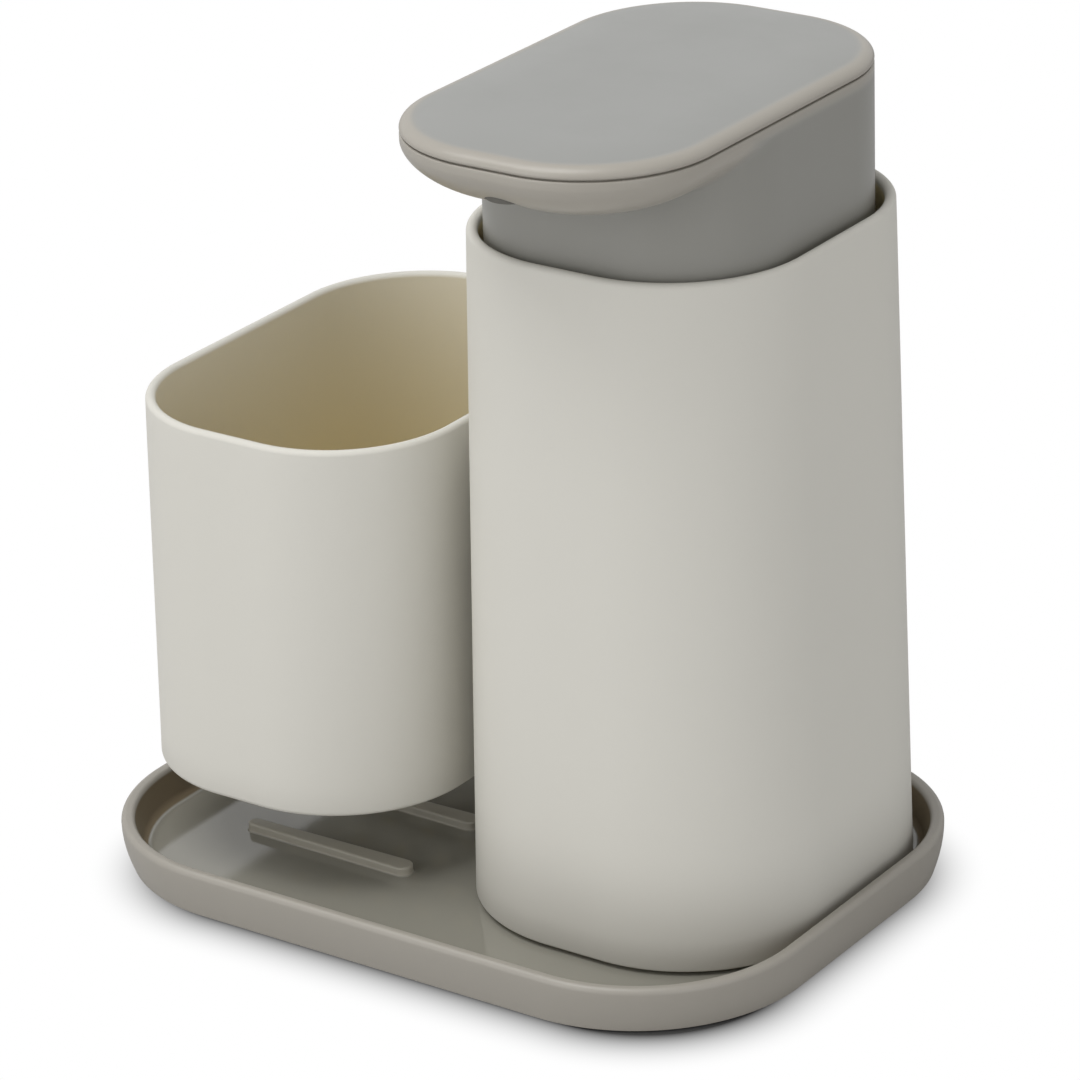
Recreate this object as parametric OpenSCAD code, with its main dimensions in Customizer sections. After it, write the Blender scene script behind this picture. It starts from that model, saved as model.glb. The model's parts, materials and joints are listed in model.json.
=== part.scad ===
// Soap pump caddy: a drip tray that carries a soap dispenser with a wide press head,
// and a brush pot that hangs on the dispenser above a sponge space.
// X runs along the row of vessels, Y from front to back, Z up from the table.

/* [Tray] */
// Length of the tray's foot along X
tray_length = 160; // [150:1:190]
// Depth of the tray's foot along Y
tray_depth = 119.2; // [112:0.4:140]
// Corner radius of the tray's foot
tray_corner_r = 35.7; // [28:0.1:44]
// Height of the tray's rim above the table
tray_height = 10.4; // [9:0.1:14]
// How far the rim stands out past the foot
tray_flare = 1.2; // [0.6:0.1:2.4]
// Width of the rounded rim
tray_rim_w = 2.6; // [2.2:0.1:3.2]
// Height of the tray's floor above the table
tray_floor_z = 2.7; // [2.5:0.1:3.4]
// Radius of the fillet between floor and wall
tray_fillet_r = 1.8; // [1:0.1:2.4]
// Draft of the wall's inner face between rim and fillet
tray_wall_draft = 1.6; // [1:0.1:2]
// Rounding of the foot's lower edge
tray_edge_r = 1.2; // [0.6:0.1:1.8]

/* [Tray ribs] */
// Number of ribs that keep a sponge off the floor
rib_count = 3; // [2:1:4]
// Length of a rib along X
rib_length = 43.5; // [30:0.5:50]
// Width of a rib at the dispenser's side
rib_w = 4.4; // [3.4:0.1:5.4]
// Width of a rib at its far end
rib_tip_w = 2.8; // [2:0.1:3.4]
// Height of a rib above the floor
rib_h = 1.7; // [1.2:0.1:2.4]
// Rounding of a rib's upper edge
rib_edge_r = 0.8; // [0.4:0.1:1]
// Spacing of the ribs along Y
rib_pitch = 24.8; // [20:0.1:30]
// Place of the row of ribs along Y
rib_row_y = -0.8; // [-4:0.1:4]
// Gap between the ribs' ends and the dispenser
rib_end_gap = 8.8; // [6:0.1:14]

/* [Tray feet] */
// Diameter of a foot pad
foot_d = 14; // [10:0.5:18]
// Thickness of a foot pad
foot_t = 1.2; // [1:0.1:1.5]
// How far a pad stands out below the tray
foot_proud = 0.5; // [0.3:0.1:0.8]
// Distance of a pad's centre from the tray's sides
foot_inset = 26; // [22:0.5:34]

/* [Dispenser body] */
// Length of the body's mouth along X
body_length = 73.4; // [68:0.2:80]
// Depth of the body's mouth along Y
body_depth = 85.4; // [80:0.2:92]
// Corner radius of the body's mouth
body_corner_r = 29.9; // [24:0.1:33]
// Height of the body
body_height = 146; // [135:1:170]
// How far the foot of the body stands out past its mouth on each side
body_flare = 3.1; // [2:0.1:3.6]
// Wall of the body
body_wall = 2.3; // [2:0.1:2.8]
// Gap between the body and the tray's right wall
body_side_gap = 0.6; // [0.4:0.1:2]
// Gap between the body and the tray's back wall
body_back_gap = 3.4; // [2:0.1:6]
// Gap under the body's lower edge
stand_gap = 0.8; // [0.6:0.1:1.4]
// Width of the ledge that carries the pump deck
ledge_w = 4; // [3:0.1:5]
// Thickness of that ledge
ledge_t = 4; // [3:0.1:5]

/* [Base plate] */
// Thickness of the base plate
base_t = 4; // [3.6:0.1:5]
// Depth of the bore that takes the base plate
base_bore_h = 8.5; // [7.5:0.1:10]
// Step between that bore and the reservoir's wall
base_step = 1; // [0.8:0.1:1.4]
// Clearance round the base plate
base_clear = 0.3; // [0.2:0.05:0.4]
// Height of the base seal
base_seal_h = 1.6; // [1.2:0.1:2]
// Width of the base seal
base_seal_w = 2; // [1.6:0.1:2.4]
// Width of the base plate's standing rim
base_rim_w = 6; // [4:0.5:8]
// Distance of that rim from the plate's edge
base_rim_inset = 3; // [2:0.5:5]
// Thickness of the base's grip ring
base_grip_t = 1.5; // [1.2:0.1:1.8]

/* [Brush pot] */
// Length of the pot's mouth along X
pot_length = 72; // [64:0.2:76]
// Depth of the pot's mouth along Y
pot_depth = 104; // [96:0.2:110]
// Corner radius of the pot's mouth
pot_corner_r = 28.6; // [22:0.1:32]
// Height of the pot
pot_height = 81.6; // [70:0.1:95]
// How far the foot of the pot stands out past its mouth
pot_flare = 1.4; // [0.5:0.1:2]
// Wall of the pot
pot_wall = 2.2; // [1.8:0.1:2.6]
// Floor of the pot
pot_floor = 2.4; // [2:0.1:3.5]
// Rounding of the pot's lower edge
pot_edge_r = 1; // [0.6:0.1:1.6]
// Space for a sponge between the tray's floor and the pot
sponge_gap = 18.3; // [16:0.1:26]
// Gap between pot and dispenser body
pot_gap = 3; // [2.9:0.1:4]
// Diameter of a drain hole
drain_d = 4.2; // [3:0.1:6]
// Spacing of the drain holes
drain_pitch = 11; // [8:0.5:14]

/* [Pot hanger] */
// Height of the hanger's channel
hanger_h = 25; // [20:0.5:30]
// Distance of the channel's top below the pot's rim
hanger_drop = 6; // [4:0.5:12]
// Width of the pot's hook plate
hook_w = 24; // [18:0.5:30]
// Thickness of the hook plate
hook_t = 0.9; // [0.7:0.05:1]
// Width of the neck between hook plate and pot
hook_neck_w = 12; // [8:0.5:14]
// Thickness of the channel's lips
lip_t = 0.8; // [0.7:0.05:0.9]
// How far each lip covers the hook plate
lip_cover = 4.5; // [3:0.1:5]
// Thickness of the channel's side walls and floor
channel_wall = 2; // [1.6:0.1:3]
// Running clearance of the hook plate
hook_clear = 0.25; // [0.2:0.05:0.3]

/* [Pump deck] */
// Thickness of the pump deck
deck_t = 3.5; // [3:0.1:4.5]
// Clearance round the pump deck
deck_clear = 0.4; // [0.3:0.05:0.6]
// Height of the deck seal
deck_seal_h = 1.5; // [1.2:0.1:1.8]
// Width of the deck seal
deck_seal_w = 2; // [1.6:0.1:2.4]
// Gap between a seal and the wall it wipes
seal_clear = 0.15; // [0.12:0.01:0.2]
// Height of the threaded neck on the deck
neck_h = 10; // [8:0.5:12]
// Outer diameter of the neck
neck_d = 28; // [27:0.5:32]
// Bore of the neck
neck_bore_d = 21; // [20.5:0.1:22]

/* [Collar] */
// Wall of the collar
collar_wall = 3.4; // [2.6:0.1:4]
// Thickness of the collar's top lip
collar_lip_t = 2; // [1.6:0.1:2.6]
// Gap between the collar's foot and the deck
collar_foot_gap = 0.8; // [0.5:0.1:1.6]
// Thread allowance round the neck
thread_clear = 0.1; // [0.05:0.01:0.15]
// Thickness of the collar gasket
gasket_t = 1; // [0.8:0.1:1.5]

/* [Pump cylinder] */
// Bore of the pump cylinder
cylinder_bore_d = 16; // [15:0.1:17]
// Wall of the pump cylinder
cylinder_wall = 1.7; // [1.4:0.1:1.8]
// Thickness of the cylinder's flange
flange_t = 2; // [1.6:0.1:2.6]
// Height of the valve cage at the cylinder's foot
cage_h = 8; // [7.5:0.1:10]
// Bore of the valve cage
cage_bore_d = 8.6; // [7.6:0.1:9.4]
// Thickness of the lip that keeps the inlet ball in its cage
cage_lip_t = 1; // [0.8:0.1:1.2]
// Bore of that lip
cage_lip_d = 5; // [4:0.1:5.4]
// Diameter of the inlet ball
inlet_ball_d = 6; // [5.6:0.1:6.4]
// Diameter of the inlet seat
inlet_seat_d = 3.6; // [3:0.1:4.4]
// Thickness of the web below the seat
seat_web_t = 1.5; // [1.2:0.1:2]
// Outer diameter of the dip tube
tube_d = 6; // [5:0.1:6.6]
// Wall of the dip tube
tube_wall = 1; // [0.8:0.1:1.2]
// Depth of the socket that holds the dip tube
tube_socket_h = 8; // [6:0.5:12]
// Gap between the dip tube and the base plate
tube_end_gap = 3; // [2:0.5:6]
// Clearance of parts that are pressed together
push_clear = 0.02; // [0.01:0.01:0.04]
// Running clearance of piston, stem and guide
running_clear = 0.05; // [0.02:0.01:0.1]

/* [Stem and piston] */
// Travel of the press head
stroke = 12; // [9:0.5:13]
// Diameter of the stem
stem_d = 10; // [9:0.1:11]
// Bore of the stem
stem_bore_d = 4.4; // [3.6:0.1:4.8]
// Diameter of the stem inside the piston seal
stem_waist_d = 9; // [8.6:0.1:9]
// Height of the piston seal
piston_h = 8; // [7.4:0.1:10]
// Diameter of the stem's foot below the piston seal
stem_foot_d = 10.6; // [10:0.1:11]
// Thickness of the stem's foot
stem_foot_t = 1.2; // [1:0.1:1.6]
// Diameter of the outlet ball
outlet_ball_d = 5.6; // [5.2:0.1:5.8]
// Bore of the outlet ball's chamber
outlet_chamber_d = 6.6; // [6.4:0.1:6.8]
// Diameter of the outlet seat
outlet_seat_d = 3.2; // [2.8:0.1:3.8]
// Lift of both valve balls
ball_lift = 1.5; // [1:0.1:1.6]
// Gap that keeps a ball just clear of its seat
ball_clear = 0.05; // [0.03:0.01:0.08]
// Depth of the stem guide in the cylinder
guide_h = 6.5; // [5:0.1:8]
// Width of the stem guide's flange past the bore
guide_flange_w = 1.5; // [1:0.1:1.8]
// Gap between piston seal and stem guide at rest
piston_gap = 0.3; // [0.2:0.05:0.5]

/* [Return spring] */
// Length of the spring at rest
spring_length = 25; // [24:0.5:30]
// Wire diameter of the spring
spring_wire_d = 1.2; // [1:0.1:1.3]
// Mean diameter of the spring
spring_d = 13.4; // [13.2:0.1:13.8]
// Turns of the spring
spring_turns = 7; // [5:0.5:7.5]

/* [Press head] */
// Height of the seam above the body's mouth
head_rise = 27.8; // [25:0.1:34]
// How far the head overhangs the skirt at the front
head_overhang = 27.7; // [20:0.1:30]
// Gap between skirt and body
skirt_gap = 1.6; // [1:0.1:2]
// Corner radius of the head
head_corner_r = 26.8; // [24:0.1:30]
// How far the skirt reaches into the body
skirt_reach = 9.5; // [7:0.5:12]
// Wall of the head shell
shell_wall = 1.8; // [1.5:0.1:2.2]
// Upright band below the seam
lip_band = 1.8; // [1:0.1:2.5]
// Depth of the overhang's rounded underside below that band
keel_depth = 10; // [8:0.1:12]
// How far in from the edge the underside is deepest
keel_run = 18.7; // [15:0.1:22]
// Height of the turn from underside to skirt
keel_turn = 1; // [0.5:0.1:2]
// Clearance over the deck when the head is pressed
press_clear = 8.5; // [7:0.5:12]
// Thickness of the head cap
cap_t = 3.3; // [2.9:0.1:4]
// Width of the cap's rounded edge
cap_round_w = 8; // [6:0.5:12]
// Depth of the lip that centres the cap in the shell
cap_lip_h = 1.6; // [1.2:0.1:2]
// Width of that lip
cap_lip_w = 1.2; // [1:0.1:1.6]
// Clearance round that lip
cap_clear = 0.1; // [0.05:0.01:0.2]
// Width of the groove along the seam, on each side
seam_groove = 0.2; // [0.1:0.05:0.3]

/* [Spout] */
// Distance of the nozzle behind the head's front edge
nozzle_setback = 8.1; // [7.6:0.1:12]
// Outer diameter of the soap channel
channel_d = 5.2; // [4.8:0.1:5.4]
// Bore of the soap channel
channel_bore_d = 3.2; // [2.8:0.1:3.4]
// Distance of the channel's axis below the seam
channel_drop = 3.2; // [3:0.1:3.6]
// Outer diameter of the stem socket
socket_d = 15; // [14:0.1:17]
// Clearance between socket and collar when the head is pressed
socket_clear = 3; // [2:0.5:4]
// Thickness left between stem and channel
socket_roof_t = 1.4; // [1:0.1:2]
// Diameter of the outlet hole in the head shell
outlet_d = 10; // [9:0.1:11]
// Gap between that hole and the nozzle tip
outlet_clear = 0.2; // [0.1:0.05:0.4]
// Distance of the nozzle tip's top below the channel's axis
tip_drop = 2.7; // [2.7:0.05:3.2]
// Height of the nozzle tip
tip_h = 1.6; // [1.4:0.1:2.4]
// Thickness of the nozzle tip's end wall
tip_end_t = 0.7; // [0.6:0.1:0.9]
// Orifice of the nozzle tip
tip_orifice_d = 2.2; // [1.6:0.1:2.8]

/* [Hidden] */

// Colours of the finishes
stone = [0.80, 0.79, 0.75];
taupe = [0.62, 0.59, 0.55];
warm_grey = [0.62, 0.62, 0.60];
natural = [0.90, 0.90, 0.88];
rubber_grey = [0.35, 0.34, 0.33];
steel = [0.75, 0.75, 0.77];

// One overrun serves all cuts
over = 0.5;
// Steps of a quarter turn in a lofted corner
corner_steps = 12;
// Steps of a quarter turn in a rounded edge
edge_steps = 3;
// Rays round a lofted ring of the head
head_rays = 80;
// Levels of the head's rounded underside
keel_levels = 7;
// Power of the curve of the head's underside
keel_power = 1.68;
// Halvings when a ray looks for the head's outline
ray_halvings = 22;
// Sides of the spring's wire, and its rings in a turn
spring_sides = 6;
spring_rings_per_turn = 8;
// Facets of turned parts
$fn = 64;

// Places and levels, from the table up
tray_z0 = foot_proud;
tray_wall_inset = tray_rim_w - tray_flare + tray_wall_draft;
body_foot_x = body_length / 2 + body_flare;
body_foot_y = body_depth / 2 + body_flare;
body_x = tray_length / 2 - tray_wall_inset - body_side_gap - body_foot_x;
body_y = tray_depth / 2 - tray_wall_inset - body_back_gap - body_foot_y;
body_z0 = tray_floor_z + stand_gap;
body_top = body_z0 + body_height;
skirt_bottom = body_top - skirt_reach;
deck_top = skirt_bottom - stroke - press_clear;
ledge_top = deck_top - deck_t;
neck_top = deck_top + neck_h;
gasket_top = neck_top + gasket_t;
flange_top = gasket_top + flange_t;
collar_top = flange_top + collar_lip_t;
seam_z = body_top + head_rise;
cap_top = seam_z + cap_t;
keel_z = seam_z - lip_band - keel_depth;
channel_z = seam_z - channel_drop;
stem_top = channel_z - channel_bore_d / 2 - socket_roof_t;
socket_bottom = collar_top + stroke + socket_clear;
guide_bottom = flange_top - guide_h;
piston_top = guide_bottom - piston_gap;
piston_bottom = piston_top - piston_h;
spring_seat = piston_bottom - spring_length;
inlet_seat_z = spring_seat - cage_h;
tube_top = inlet_seat_z - seat_web_t;
base_top = body_z0 + base_bore_h;
pot_z0 = tray_floor_z + sponge_gap;
pot_top = pot_z0 + pot_height;
hanger_top = pot_top - hanger_drop;
hanger_bottom = hanger_top - hanger_h;
head_front = body_y - body_depth / 2 + body_wall + skirt_gap - head_overhang;
nozzle_y = head_front + nozzle_setback;
outlet_seat_z = piston_bottom + outlet_seat_d / 2;
hook_x = body_left(pot_top) - pot_gap;
lip_x = hook_x + hook_clear;
hook_plate_x = lip_x + lip_t + hook_clear;

// A section is [centre x, centre y, half x, half y, corner radius]
tray_section = [0, 0, tray_length / 2, tray_depth / 2, tray_corner_r];
body_section = [body_x, body_y, body_length / 2, body_depth / 2, body_corner_r];
head_half_x = body_length / 2 - body_wall - skirt_gap;
head_half_y = body_depth / 2 - body_wall - skirt_gap;
skirt_section = [body_x, body_y, head_half_x, head_half_y, head_corner_r];
slab_section = [body_x, body_y - head_overhang / 2, head_half_x, head_half_y + head_overhang / 2, head_corner_r];

// A section grown outwards by a distance
function grown(s, d) = [s[0], s[1], s[2] + d, s[3] + d, s[4] + d];

// Growth of the body's outer wall at a level
function body_growth(z) = body_flare * (body_top - z) / body_height;

// Left face of the body at a level
function body_left(z) = body_x - body_length / 2 - body_growth(z);

// Growth of the pot's outer wall at a level
function pot_growth(z) = pot_flare * (pot_top - z) / pot_height;

// The pot's section at a level: its right wall runs along the body's left wall
function pot_section(z) =
    let (right = body_left(z) - pot_gap)
    let (left = body_left(pot_top) - pot_gap - pot_length - pot_growth(z))
    [(left + right) / 2, body_y, (right - left) / 2, pot_depth / 2 + pot_growth(z), pot_corner_r + pot_growth(z)];

// Points of a rounded rectangle, anticlockwise, lifted to a level
function ring(s, z, steps = corner_steps) = [
    for (corner = [0 : 3]) for (i = [0 : steps])
    let (a = 90 * (corner + i / steps))
    let (side = (corner == 0 || corner == 3) ? 1 : -1)
    let (end = corner < 2 ? 1 : -1)
    [
        s[0] + side * (s[2] - s[4]) + s[4] * cos(a),
        s[1] + end * (s[3] - s[4]) + s[4] * sin(a),
        z
    ]
];

// Signed distance of a point from a rounded rectangle
function distance_to(p, s) =
    let (qx = abs(p[0] - s[0]) - s[2] + s[4])
    let (qy = abs(p[1] - s[1]) - s[3] + s[4])
    norm([max(qx, 0), max(qy, 0)]) + min(max(qx, qy), 0) - s[4];

// Distance along a ray at which it leaves all the sections, found by halving
function reach(o, dir, sections, near, far, n) =
    let (middle = (near + far) / 2)
    n == 0 ? middle :
    min([for (s = sections) distance_to(o + middle * dir, s)]) < 0
        ? reach(o, dir, sections, middle, far, n - 1)
        : reach(o, dir, sections, near, middle, n - 1);

// Points of the outline that sections share, seen from the middle of the head
function joined_ring(sections, z) = [
    for (i = [0 : head_rays - 1])
    let (dir = [cos(360 * i / head_rays), sin(360 * i / head_rays)])
    let (o = [slab_section[0], slab_section[1]])
    let (far = body_length + body_depth + head_overhang)
    let (p = o + reach(o, dir, sections, 0, far, ray_halvings) * dir)
    [p[0], p[1], z]
];

// Depth of the head's underside below the seam, at a distance in from its edge
function keel_at(d) = lip_band + keel_depth * pow(1 - pow(1 - d / keel_run, keel_power), 1 / keel_power);

// Rings of the head below the seam, from skirt to seam, drawn in and lifted by a wall's thickness
function head_rings(wall) =
    let (skirt = grown(skirt_section, -wall))
    concat(
        [joined_ring([skirt], skirt_bottom), joined_ring([skirt], keel_z - keel_turn + wall)],
        [for (i = [0 : keel_levels])
            let (d = wall + (keel_run - wall) * (1 - sin(90 * i / keel_levels)))
            joined_ring([skirt, grown(slab_section, -d)], seam_z - keel_at(d) + wall)]
    );

// Middle of a ring's points
function middle_of(ring) = [for (p = ring) 1] * ring / len(ring);

// Skin through rings of equal length; a closed skin joins its last ring to its first,
// an open one has an end over its first and last ring, fanned from the ring's middle
module loft(rings, closed = false) {
    n = len(rings[0]);
    m = len(rings);
    last = closed ? m - 1 : m - 2;
    sides = [
        for (i = [0 : last]) for (j = [0 : n - 1])
        let (a = i * n + j)
        let (b = ((i + 1) % m) * n + j)
        let (c = ((i + 1) % m) * n + (j + 1) % n)
        let (d = i * n + (j + 1) % n)
        each [[a, b, c], [a, c, d]]
    ];
    ends = closed ? [] : [
        for (j = [0 : n - 1])
        let (next = (j + 1) % n)
        each [[m * n, j, next], [m * n + 1, (m - 1) * n + next, (m - 1) * n + j]]
    ];
    middles = closed ? [] : [middle_of(rings[0]), middle_of(rings[m - 1])];
    polyhedron(points = concat([for (r = rings) each r], middles), faces = concat(sides, ends));
}

// Solid rounded rectangle with true corner arcs
module plate(s, z, h) {
    translate([s[0], s[1], z])
    linear_extrude(h) {
        square([2 * (s[2] - s[4]), 2 * s[3]], center = true);
        square([2 * s[2], 2 * (s[3] - s[4])], center = true);
        for (side = [-1, 1]) for (end = [-1, 1])
        translate([side * (s[2] - s[4]), end * (s[3] - s[4])])
        circle(s[4]);
    }
}

// Frame between a rounded rectangle and the same one drawn in by a width
module frame(s, width, z, h) {
    difference() {
        plate(s, z, h);
        plate(grown(s, -width), z - over, h + 2 * over);
    }
}

// Turned part about an upright axis, from an outline in radius and level
module turned(outline, x = body_x, y = body_y) {
    translate([x, y, 0])
    rotate_extrude()
    polygon(outline);
}

// Rings of a wall's full-round rim, from its outer to its inner face
function rim_rings(s, width, top, steps) = [
    for (i = [0 : steps])
    let (a = 180 * i / steps)
    ring(grown(s, (cos(a) - 1) * width / 2), top - width / 2 + sin(a) * width / 2)
];

module drip_tray() {
    rim = grown(tray_section, tray_flare);
    wall = grown(tray_section, -tray_wall_inset);
    color(taupe)
    difference() {
        union() {
            loft(concat(
                [for (i = [0 : edge_steps])
                    let (a = 90 * i / edge_steps)
                    ring(grown(tray_section, (sin(a) - 1) * tray_edge_r), tray_z0 + (1 - cos(a)) * tray_edge_r)],
                rim_rings(rim, tray_rim_w, tray_height, 2 * edge_steps),
                [for (i = [0 : edge_steps])
                    let (a = 90 * i / edge_steps)
                    ring(grown(wall, (cos(a) - 1) * tray_fillet_r), tray_floor_z + (1 - sin(a)) * tray_fillet_r)]
            ));
            for (i = [0 : rib_count - 1])
            tray_rib(rib_row_y + (i - (rib_count - 1) / 2) * rib_pitch);
        }
        for (side = [-1, 1]) for (end = [-1, 1])
        foot_place(side, end)
        translate([0, 0, -over])
        cylinder(r = foot_d / 2 + push_clear, h = foot_t + over);
    }
}

// Ring of a rib drawn in by a distance, narrower towards its far end
function rib_ring(x, y, inset, z) =
    let (near = rib_w / 2 - inset)
    let (far = rib_tip_w / 2 - inset)
    concat(
        [for (i = [-edge_steps : edge_steps])
            let (a = 90 * i / edge_steps)
            [x - rib_w / 2 + near * cos(a), y + near * sin(a), z]],
        [for (i = [-edge_steps : edge_steps])
            let (a = 180 + 90 * i / edge_steps)
            [x - rib_length + rib_tip_w / 2 + far * cos(a), y + far * sin(a), z]]
    );

// One rib on the tray's floor, with its upper edge rounded
module tray_rib(y) {
    end_x = body_x - body_foot_x - rib_end_gap;
    top = tray_floor_z + rib_h;
    loft(concat(
        [rib_ring(end_x, y, 0, tray_floor_z - over)],
        [for (i = [0 : edge_steps])
            let (a = 90 * i / edge_steps)
            rib_ring(end_x, y, (1 - cos(a)) * rib_edge_r, top + (sin(a) - 1) * rib_edge_r)]
    ));
}

// Place of one foot pad on the table
module foot_place(side, end) {
    translate([side * (tray_length / 2 - foot_inset), end * (tray_depth / 2 - foot_inset), 0])
    children();
}

module tray_feet() {
    color(rubber_grey)
    for (side = [-1, 1]) for (end = [-1, 1])
    foot_place(side, end)
    cylinder(r = foot_d / 2, h = foot_t);
}

module dispenser_body() {
    foot = grown(body_section, body_flare);
    bore = grown(foot, -body_wall);
    shelf_under = ledge_top - ledge_t;
    color(stone)
    union() {
        loft(concat(
            [ring(foot, body_z0)],
            rim_rings(body_section, body_wall, body_top, 2 * edge_steps),
            [
                ring(grown(body_section, -body_wall), ledge_top),
                ring(grown(body_section, -body_wall - ledge_w), ledge_top),
                ring(grown(body_section, -body_wall - ledge_w), shelf_under),
                ring(grown(body_section, body_growth(shelf_under) - body_wall), shelf_under - ledge_w),
                ring(grown(bore, -base_step), base_top),
                ring(bore, base_top),
                ring(bore, body_z0)
            ]
        ), closed = true);
        hanger_channel();
    }
}

// Upright channel on the body's left wall: two side walls, two lips and a floor
module hanger_channel() {
    half_w = hook_w / 2 + hook_clear;
    root = body_left(hanger_top) + body_wall / 2;
    depth = root - lip_x;
    full_w = 2 * (half_w + channel_wall);
    translate([lip_x, body_y, hanger_bottom])
    difference() {
        translate([0, -full_w / 2, 0])
        cube([depth, full_w, hanger_h]);
        translate([lip_t, -half_w, channel_wall])
        cube([depth, 2 * half_w, hanger_h]);
        translate([-over, -(hook_w / 2 - lip_cover), channel_wall])
        cube([depth, hook_w - 2 * lip_cover, hanger_h]);
    }
}

module base_plate() {
    bore = grown(body_section, body_flare - body_wall);
    edge = grown(bore, -base_clear);
    rim = grown(edge, -base_rim_inset);
    groove_z = base_top - (base_t + base_seal_h) / 2;
    color(stone)
    union() {
        difference() {
            plate(edge, base_top - base_t, base_t);
            difference() {
                plate(grown(edge, over), groove_z, base_seal_h);
                plate(grown(bore, -seal_clear - base_seal_w), groove_z - over, base_seal_h + 2 * over);
            }
        }
        frame(rim, base_rim_w, tray_floor_z + base_grip_t, base_top - base_t - tray_floor_z - base_grip_t);
    }
}

module base_seal() {
    bore = grown(body_section, body_flare - body_wall);
    groove_z = base_top - (base_t + base_seal_h) / 2;
    color(rubber_grey)
    frame(grown(bore, -seal_clear), base_seal_w, groove_z, base_seal_h);
}

module base_grip() {
    bore = grown(body_section, body_flare - body_wall);
    color(rubber_grey)
    frame(grown(bore, -base_clear - base_rim_inset), base_rim_w, tray_floor_z, base_grip_t);
}

module brush_pot() {
    foot = pot_section(pot_z0);
    inner_foot = grown(pot_section(pot_z0 + pot_floor), -pot_wall);
    middle = pot_section((pot_z0 + pot_top) / 2);
    drains = 2;
    color(stone)
    union() {
        difference() {
            loft(concat(
                [for (i = [0 : edge_steps])
                    let (a = 90 * i / edge_steps)
                    ring(grown(foot, (sin(a) - 1) * pot_edge_r), pot_z0 + (1 - cos(a)) * pot_edge_r)],
                rim_rings(pot_section(pot_top), pot_wall, pot_top, 2 * edge_steps),
                [for (i = [0 : edge_steps])
                    let (a = 90 * i / edge_steps)
                    ring(grown(inner_foot, (cos(a) - 1) * pot_wall), pot_z0 + pot_floor + (1 - sin(a)) * pot_wall)]
            ));
            for (i = [-drains : drains]) for (j = [-drains : drains])
            translate([middle[0] + i * drain_pitch, middle[1] + j * drain_pitch, pot_z0 - over])
            cylinder(r = drain_d / 2, h = pot_floor + 2 * over, $fn = 24);
        }
        pot_hook();
    }
}

// Hook plate and its neck on the pot's right wall
module pot_hook() {
    z0 = hanger_bottom + channel_wall + hook_clear;
    h = hanger_top - z0;
    root = hook_x - pot_wall / 2 - (body_growth(z0) - body_growth(pot_top));
    translate([root, body_y - hook_neck_w / 2, z0])
    cube([hook_plate_x + hook_t - root, hook_neck_w, h]);
    translate([hook_plate_x, body_y - hook_w / 2, z0])
    cube([hook_t, hook_w, h]);
}

module pump_deck() {
    edge = grown(body_section, -body_wall - deck_clear);
    socket = grown(body_section, -body_wall);
    groove_z = ledge_top + (deck_t - deck_seal_h) / 2;
    color(natural)
    difference() {
        union() {
            difference() {
                plate(edge, ledge_top, deck_t);
                difference() {
                    plate(grown(edge, over), groove_z, deck_seal_h);
                    plate(grown(socket, -seal_clear - deck_seal_w), groove_z - over, deck_seal_h + 2 * over);
                }
            }
            translate([body_x, body_y, ledge_top])
            cylinder(r = neck_d / 2, h = neck_top - ledge_top);
        }
        translate([body_x, body_y, ledge_top - over])
        cylinder(r = neck_bore_d / 2, h = neck_top - ledge_top + 2 * over);
    }
}

module deck_seal() {
    socket = grown(body_section, -body_wall);
    groove_z = ledge_top + (deck_t - deck_seal_h) / 2;
    color(rubber_grey)
    frame(grown(socket, -seal_clear), deck_seal_w, groove_z, deck_seal_h);
}

module collar() {
    bore = neck_d / 2 + thread_clear;
    outer = bore + collar_wall;
    opening = cylinder_bore_d / 2 + cylinder_wall + guide_flange_w;
    foot = deck_top + collar_foot_gap;
    color(natural)
    turned([
        [bore, foot], [outer, foot], [outer, collar_top], [opening, collar_top],
        [opening, flange_top], [bore, flange_top]
    ]);
}

module collar_gasket() {
    color(rubber_grey)
    turned([
        [neck_bore_d / 2, neck_top], [neck_d / 2, neck_top],
        [neck_d / 2, gasket_top], [neck_bore_d / 2, gasket_top]
    ]);
}

module pump_cylinder() {
    bore = cylinder_bore_d / 2;
    outer = bore + cylinder_wall;
    cage = cage_bore_d / 2;
    cage_outer = cage + cylinder_wall;
    tube = tube_d / 2 + push_clear;
    socket_end = tube_top - tube_socket_h;
    color(natural)
    turned([
        [tube, socket_end], [tube + cylinder_wall, socket_end],
        [tube + cylinder_wall, tube_top - cylinder_wall],
        [cage_outer, inlet_seat_z], [cage_outer, spring_seat - 2 * cylinder_wall],
        [outer, spring_seat - cylinder_wall], [outer, gasket_top],
        [neck_d / 2, gasket_top], [neck_d / 2, flange_top], [bore, flange_top],
        [bore, spring_seat], [cage_lip_d / 2, spring_seat],
        [cage_lip_d / 2, spring_seat - cage_lip_t], [cage, spring_seat - cage_lip_t],
        [cage, inlet_seat_z], [inlet_seat_d / 2, inlet_seat_z],
        [inlet_seat_d / 2, tube_top], [tube, tube_top]
    ]);
}

module stem_guide() {
    plug = cylinder_bore_d / 2 - running_clear;
    bore = stem_d / 2 + running_clear;
    flange = cylinder_bore_d / 2 + cylinder_wall + guide_flange_w - running_clear;
    color(natural)
    turned([
        [bore, guide_bottom], [plug, guide_bottom], [plug, flange_top], [flange, flange_top],
        [flange, collar_top], [bore, collar_top]
    ]);
}

module dip_tube() {
    end = base_top + tube_end_gap;
    outer = tube_d / 2;
    bore = outer - tube_wall;
    color(natural)
    turned([[bore, end], [outer, end], [outer, tube_top], [bore, tube_top]]);
}

// Centre of a ball that rests on the edge of a round seat
function ball_centre(seat_z, ball_d, seat_d) =
    seat_z + ball_clear + sqrt(ball_d * ball_d - seat_d * seat_d) / 2;

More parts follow.
